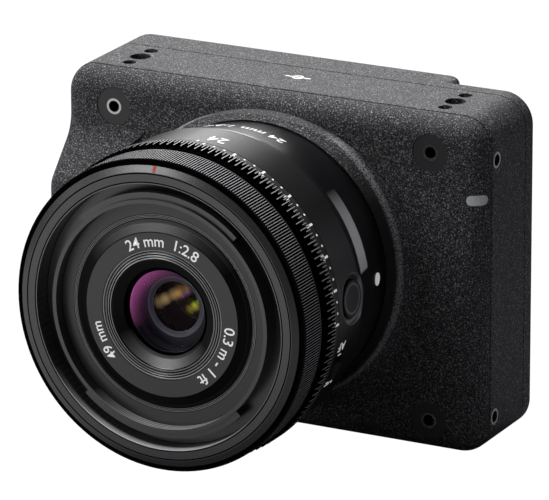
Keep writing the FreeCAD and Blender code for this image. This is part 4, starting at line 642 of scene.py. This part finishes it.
def turned(name, outline, body):
    """A ring turned from an outline of (reach, depth) points in millimetres."""
    spots, faces, count = [], [], len(outline)
    for step in range(TURNS):
        turn = 2 * math.pi * step / TURNS
        for reach_mm, depth_mm in outline:
            spots.append((reach_mm * MM * math.cos(turn), FLANGE_Y - depth_mm * MM,
                          LENS_TALL + reach_mm * MM * math.sin(turn)))
        after = (step + 1) % TURNS
        for side in range(count):
            beside = (side + 1) % count
            faces.append((step * count + side, after * count + side,
                          after * count + beside, step * count + beside))
    mesh = bpy.data.meshes.new(name)
    mesh.from_pydata(spots, [], faces)
    made = bpy.data.objects.new(name, mesh)
    bpy.context.scene.collection.objects.link(made)
    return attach(made, body)


washer_black = finish("blackened_brass", (0.012, 0.012, 0.013), 0.5)
by_reach(washer_black, 5.2, 7.2, [(0.0, (0.03, 0.03, 0.04)), (0.08, (0.14, 0.14, 0.17)),
                                  (0.16, (0.05, 0.05, 0.07)), (0.40, (0.09, 0.09, 0.11)),
                                  (0.58, (0.16, 0.16, 0.19)), (0.64, (0.004, 0.004, 0.008)),
                                  (0.82, (0.004, 0.004, 0.008)), (0.86, (0.04, 0.04, 0.06)),
                                  (0.92, (0.004, 0.004, 0.008))])
dulled(washer_black, noise(washer_black, 0.15), 0.35, 0.5)
stop_washer = turned("stop_washer", WASHER, "camera")
stop_washer.data.materials.append(washer_black)

# The white markings. Engraved and filled with a hard white paint: the plain figures and the focus
# words on the barrel, the dial on the aperture ring, the figures on the name ring and the sensor
# plane mark on top. The paint is made to glow a little, as painted light.
INK_THICK = 0.03
INK_PAINTED_GLOW = 0.3
LETTER_FAT = 0.008
OVAL_POINTS = 24
LONGEST_EDGE = 0.8
BARREL_FOOT = (0.35, 29.6)
BARREL_WAIST = (16, 32.4)
WAIST_RISE = 0.7 / 2.4
FIRST_STOP = -2.4
STOP_TURN = 12.63
THIRD_TURN = 4.21
NAME_REACH = 15.75
NAME_FACE = 43.2
MARK_BEHIND = 1.1
CASING_TALL = 74


def words(text, tall, turn=0):
    """A text that high round the middle of its own box, as flat points and faces; the third number
    of a point is -1 on its underside and 1 on top."""
    curve = bpy.data.curves.new("words", "FONT")
    curve.body = text
    curve.extrude = 0.01
    curve.offset = LETTER_FAT
    holder = bpy.data.objects.new("words", curve)
    bpy.context.scene.collection.objects.link(holder)
    solved = holder.evaluated_get(bpy.context.evaluated_depsgraph_get())
    shape = bpy.data.meshes.new_from_object(solved)
    bpy.data.objects.remove(holder)
    low = [min(vert.co[side] for vert in shape.vertices) for side in (0, 1)]
    high = [max(vert.co[side] for vert in shape.vertices) for side in (0, 1)]
    scale = tall / (high[1] - low[1])
    cosine = math.cos(math.radians(turn))
    sine = math.sin(math.radians(turn))
    spots = []
    for vert in shape.vertices:
        u = (vert.co.x - (low[0] + high[0]) / 2) * scale
        v = (vert.co.y - (low[1] + high[1]) / 2) * scale
        level = 1 if vert.co.z > 0 else -1
        spots.append((u * cosine - v * sine, u * sine + v * cosine, level))
    faces = [tuple(face.vertices) for face in shape.polygons]
    bpy.data.meshes.remove(shape)
    return spots, faces


def prism(outline):
    """A flat shape with an underside, out of its outline."""
    count = len(outline)
    spots = [(u, v, level) for level in (-1, 1) for u, v in outline]
    sides = [(i, (i + 1) % count, (i + 1) % count + count, i + count) for i in range(count)]
    return spots, [tuple(reversed(range(count))), tuple(range(count, 2 * count))] + sides


def bar(wide, tall):
    """A flat oblong with an underside."""
    return prism([(-wide / 2, -tall / 2), (wide / 2, -tall / 2), (wide / 2, tall / 2),
                  (-wide / 2, tall / 2)])


def spot_of(wide, tall):
    """A flat oval with an underside."""
    turns = [2 * math.pi * step / OVAL_POINTS for step in range(OVAL_POINTS)]
    return prism([(wide / 2 * math.cos(turn), tall / 2 * math.sin(turn)) for turn in turns])


def on_barrel(reach_at, angle_mid, depth_mid, thick=INK_THICK):
    """Bends flat points round the barrel: u runs with the angle, v runs forward."""
    def bend(u, v, level):
        depth_mm = depth_mid + v
        reach_mm = reach_at(depth_mm) + level * thick
        turn = math.radians(angle_mid) + u / reach_at(depth_mid)
        return (reach_mm * math.cos(turn) * MM, FLANGE_Y - depth_mm * MM,
                LENS_TALL + reach_mm * math.sin(turn) * MM)
    return bend


def on_ring(reach_mid, angle_mid, depth_mm):
    """Bends flat points round a front-facing ring: u runs clockwise, v runs outward."""
    def bend(u, v, level):
        turn = math.radians(angle_mid) - u / reach_mid
        return ((reach_mid + v) * math.cos(turn) * MM,
                FLANGE_Y - (depth_mm + level * INK_THICK) * MM,
                LENS_TALL + (reach_mid + v) * math.sin(turn) * MM)
    return bend


def painted(name, marks, body, made_of):
    """One piece out of flat shapes, each laid on its surface by its own bend."""
    whole = bmesh.new()
    for (spots, faces), bend in marks:
        flat = bmesh.new()
        corners = [flat.verts.new(place) for place in spots]
        for face in faces:
            flat.faces.new([corners[i] for i in face])
        bmesh.ops.triangulate(flat, faces=flat.faces[:])
        for _ in range(3):
            long = [edge for edge in flat.edges if edge.verts[0].co.z == edge.verts[1].co.z
                    and edge.calc_length() > LONGEST_EDGE]
            if long:
                bmesh.ops.subdivide_edges(flat, edges=long, cuts=1)
        flat.verts.index_update()
        placed = [whole.verts.new(bend(*vert.co)) for vert in flat.verts]
        for face in flat.faces:
            whole.faces.new([placed[vert.index] for vert in face.verts])
        flat.free()
    mesh = bpy.data.meshes.new(name)
    whole.to_mesh(mesh)
    whole.free()
    mesh.materials.append(made_of)
    made = bpy.data.objects.new(name, mesh)
    bpy.context.scene.collection.objects.link(made)
    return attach(made, body)


def waist(depth_mm):
    """The reach of the rear barrel's surface at a depth."""
    foot_depth, foot_reach = BARREL_FOOT
    waist_depth, waist_reach = BARREL_WAIST
    if depth_mm < waist_depth:
        return foot_reach + (depth_mm - foot_depth) * (waist_reach - foot_reach) / (waist_depth - foot_depth)
    return min(BARREL_ROUND, waist_reach + (depth_mm - waist_depth) * WAIST_RISE)


def dial_face(depth_mm):
    """The reach of the aperture ring's smooth band, the same at every depth."""
    return BARREL_ROUND


white_paint = finish("white_filling_paint", (0.82, 0.82, 0.80), 0.5)
tinted(white_paint, noise(white_paint, 0.2), [(0.3, (0.80, 0.80, 0.79)), (0.7, (0.92, 0.92, 0.90))])
# Painted light: the white paint glows a little, so the markings stay bright in shade.
shader_of(white_paint).inputs["Emission Color"].default_value = (1, 1, 1, 1)
shader_of(white_paint).inputs["Emission Strength"].default_value = INK_PAINTED_GLOW
painted("barrel_figures", [
    (words("24", 3.0), on_barrel(waist, 84.2, 24.6)),
    (words("24 mm 1:2.8", 2.7), on_barrel(waist, 86.8, 9.6)),
    (bar(0.35, 0.9), on_barrel(waist, 89.5, 27.5)),
    (words("AF", 1.9, 90), on_barrel(waist, -12.6, 25.4)),
    (words("MF", 1.9, 90), on_barrel(waist, -27.4, 25.4)),
    (bar(0.25, 1.4), on_barrel(waist, -15.8, 25.6)),
], "camera", white_paint)
stops = ["2.8", "4", "5.6", "8", "11", "16", "22", "A"]
dial = []
for place, stop in enumerate(stops):
    at = FIRST_STOP + STOP_TURN * place
    dial.append((bar(0.5, 1.3), on_barrel(dial_face, at, 28.9)))
    dial.append((words(stop, 1.1), on_barrel(dial_face, at, 30.3)))
    for third in (1, 2):
        if stop != "A":
            dial.append((spot_of(0.5, 0.5), on_barrel(dial_face, at + THIRD_TURN * third, 28.8)))
painted("aperture_dial", dial, "aperture_ring", white_paint)
painted("name_figures", [
    (words("24 mm  1:2.8", 2.35), on_ring(NAME_REACH, 89, NAME_FACE)),
    (words("0.3 m - 1 ft", 2.4), on_ring(NAME_REACH, 331, NAME_FACE)),
    (words("49 mm", 2.2), on_ring(NAME_REACH, 209, NAME_FACE)),
], "camera", white_paint)


def flat_on_top(u, v, level):
    """Lays a flat point on the camera's top: u runs to the right, v runs backwards."""
    return u * MM, (MARK_BEHIND + v) * MM, (CASING_TALL + level * INK_THICK) * MM


def hoop(outer, inner):
    """A flat ring with an underside."""
    spots, faces = [], []
    for level in (-1, 1):
        for radius in (outer, inner):
            for step in range(OVAL_POINTS):
                turn = 2 * math.pi * step / OVAL_POINTS
                spots.append((radius * math.cos(turn), radius * math.sin(turn), level))
    low_out, low_in, high_out, high_in = [start * OVAL_POINTS for start in range(4)]
    for step in range(OVAL_POINTS):
        after = (step + 1) % OVAL_POINTS
        faces += [(high_out + step, high_out + after, high_in + after, high_in + step),
                  (low_out + after, low_out + step, low_in + step, low_in + after),
                  (low_out + step, low_out + after, high_out + after, high_out + step),
                  (low_in + after, low_in + step, high_in + step, high_in + after)]
    return spots, faces


painted("sensor_plane_mark", [(hoop(1.25, 0.85), flat_on_top), (bar(6.0, 0.42), flat_on_top)],
        "camera", white_paint)

# The index marks. A bead of white resin let into the barrel's foot lines up with the mount when
# the lens is put on, and a red bar on the bezel's chamfer does so for a hood.
CHAMFER_START = (44.35, 32.2)
CHAMFER_END = (45.0, 30.85)
BEAD_HIGH = 0.12
red_paint = finish("red_filling_paint", (0.55, 0.02, 0.02), 0.5)
tinted(red_paint, noise(red_paint, 0.2), [(0.3, (0.48, 0.015, 0.015)), (0.7, (0.62, 0.03, 0.03))])


def bezel_slope(depth_mm):
    """The reach of the bezel's chamfer at a depth."""
    start_depth, start_reach = CHAMFER_START
    end_depth, end_reach = CHAMFER_END
    return start_reach - (depth_mm - start_depth) * (start_reach - end_reach) / (end_depth - start_depth)


painted("hood_mark", [(bar(0.7, 0.6), on_barrel(bezel_slope, 91, 44.67))], "camera", red_paint)
# The bead is in the same glowing white paint, with its painted light.
painted("mount_index", [(spot_of(2.7, 3.0), on_barrel(waist, 2.2, 5.4, BEAD_HIGH))],
        "camera", white_paint)

# The table and the light. A pale table runs off behind the camera body, and to the eye it is white.
# One broad softbox hangs overhead and one stands behind; two smaller ones at the left face the
# lens, high and low.
TABLE_SIZE = 6.0
TABLE_WHITE = 1.08
TABLE_SHARE = 0.95
TABLE_DROP = 0.02
ROOM_GLINT = 0.04
POOL_MIDDLE = (-0.13, -0.27, 0)
POOL_REACH = 0.12
POOL_SOFT = 0.12
POOL_SHARE = 0.9


def white_to_the_eye(tree, glossy_share):
    """1 for rays from the camera, and a share of that in glossy pieces."""
    path = tree.nodes.new("ShaderNodeLightPath")
    in_gloss = both(tree, path.outputs["Is Glossy Ray"], glossy_share)
    return either(tree, path.outputs["Is Camera Ray"], in_gloss)


def painted_light_pool(tree):
    """The share of the table's white that glossy pieces see: a painted pool of light at the left front,
    which glows for reflections only.
    """
    place = tree.nodes.new("ShaderNodeTexCoord")
    apart = tree.nodes.new("ShaderNodeVectorMath")
    apart.operation = "DISTANCE"
    apart.inputs[1].default_value = POOL_MIDDLE
    tree.links.new(place.outputs["Object"], apart.inputs[0])
    path = tree.nodes.new("ShaderNodeLightPath")
    in_glass = maths(tree, "MINIMUM", path.outputs["Transmission Depth"], 1.0)
    # Painted light: the table glows in this pool for glossy rays only.
    pool = both(tree, between(tree, apart.outputs["Value"], -1, POOL_REACH, POOL_SOFT), POOL_SHARE)
    return both(tree, pool, outside(tree, in_glass))


table_paper = finish("table_paper", (0.22, 0.22, 0.23), 0.9, gloss=0.1)
tree = table_paper.node_tree
paper_glow = tree.nodes.new("ShaderNodeEmission")
paper_glow.inputs["Strength"].default_value = TABLE_WHITE
seen_white = both(tree, white_to_the_eye(tree, painted_light_pool(tree)), TABLE_SHARE)
mixed = tree.nodes.new("ShaderNodeMixShader")
tree.links.new(seen_white, mixed.inputs["Fac"])
tree.links.new(shader_of(table_paper).outputs[0], mixed.inputs[1])
tree.links.new(paper_glow.outputs[0], mixed.inputs[2])
tree.links.new(mixed.outputs[0], tree.nodes["Material Output"].inputs["Surface"])
table_mesh = bpy.data.meshes.new("table_top")
half = TABLE_SIZE / 2
corners = [(-half, -half, 0), (half, -half, 0), (half, half, 0), (-half, half, 0)]
table_mesh.from_pydata(corners, [], [(0, 1, 2, 3)])
table_mesh.materials.append(table_paper)
table_top = bpy.data.objects.new("table_top", table_mesh)
table_top.location.z = construction_box[0].z - TABLE_DROP * MM
bpy.context.scene.collection.objects.link(table_top)

room = bpy.data.worlds.new("room")
bpy.context.scene.world = room
room.use_nodes = True
tree = room.node_tree
room_dim = tree.nodes["Background"]
room_dim.inputs["Color"].default_value = (0.95, 0.97, 1.0, 1)
room_dim.inputs["Strength"].default_value = 0.08
room_white = tree.nodes.new("ShaderNodeBackground")
room_white.inputs["Color"].default_value = (1, 1, 1, 1)
room_mix = tree.nodes.new("ShaderNodeMixShader")
tree.links.new(white_to_the_eye(tree, ROOM_GLINT), room_mix.inputs["Fac"])
tree.links.new(room_dim.outputs[0], room_mix.inputs[1])
tree.links.new(room_white.outputs[0], room_mix.inputs[2])
tree.links.new(room_mix.outputs[0], tree.nodes["World Output"].inputs["Surface"])


def softbox(name, place, aim, wide, high, watts):
    """An oblong lamp at a place that faces the aim."""
    lamp = bpy.data.lights.new(name, "AREA")
    lamp.shape = "RECTANGLE"
    lamp.size = wide
    lamp.size_y = high
    lamp.energy = watts
    made = bpy.data.objects.new(name, lamp)
    made.location = place
    made.rotation_euler = (Vector(aim) - Vector(place)).to_track_quat("-Z", "Y").to_euler()
    bpy.context.scene.collection.objects.link(made)


softbox("overhead_softbox", (-0.15, 0.12, 0.60), (0, 0, 0.04), 0.50, 0.40, 5.4)
softbox("left_softbox", (-0.31, -0.49, 0.44), (0, -0.04, 0.04), 0.24, 0.34, 1.5)
softbox("low_softbox", (-0.52, -0.50, 0.10), (0, -0.04, 0.04), 0.30, 0.20, 0.45)
softbox("back_softbox", (-0.38, 0.70, 0.32), (0, 0, 0.05), 0.50, 0.30, 1.5)

# The photographer's place. The camera is seen from the front, well round to the right and a little
# above, through a long lens from a good metre away, so its edges run almost parallel.
YAW = math.radians(27.5)
PITCH = math.radians(18.04)
ROLL = math.radians(-0.2)
DISTANCE = 1187.76 * MM
FRAME_WIDE = 549
PIXELS_PER_MM = 4.70
FILM_WIDE = 36.0
SHIFT_PIXELS = (0.36, 0.08)
AIM = Vector((0, -7.0 * MM, 37.0 * MM))
STEP_LEFT = 1.46 * MM
STEP_UP = 0.79 * MM
back = Vector((math.sin(YAW) * math.cos(PITCH), -math.cos(YAW) * math.cos(PITCH), math.sin(PITCH)))
across = Vector((math.cos(YAW), math.sin(YAW), 0))
upward = back.cross(across)
right = math.cos(ROLL) * across + math.sin(ROLL) * upward
top = math.cos(ROLL) * upward - math.sin(ROLL) * across
camera_data = bpy.data.cameras.new("photographer")
camera_data.sensor_width = FILM_WIDE
camera_data.lens = PIXELS_PER_MM * DISTANCE / MM / FRAME_WIDE * FILM_WIDE
camera_data.clip_start = 0.01
camera_data.clip_end = 20
camera_data.shift_x = SHIFT_PIXELS[0] / FRAME_WIDE
camera_data.shift_y = SHIFT_PIXELS[1] / FRAME_WIDE
photographer = bpy.data.objects.new("photographer", camera_data)
facing = Matrix((right, top, back)).transposed().to_4x4()
stand = AIM + back * DISTANCE - right * STEP_LEFT + top * STEP_UP
photographer.matrix_world = Matrix.Translation(stand) @ facing
bpy.context.scene.collection.objects.link(photographer)
bpy.context.scene.camera = photographer
bpy.context.scene.view_settings.view_transform = "Standard"
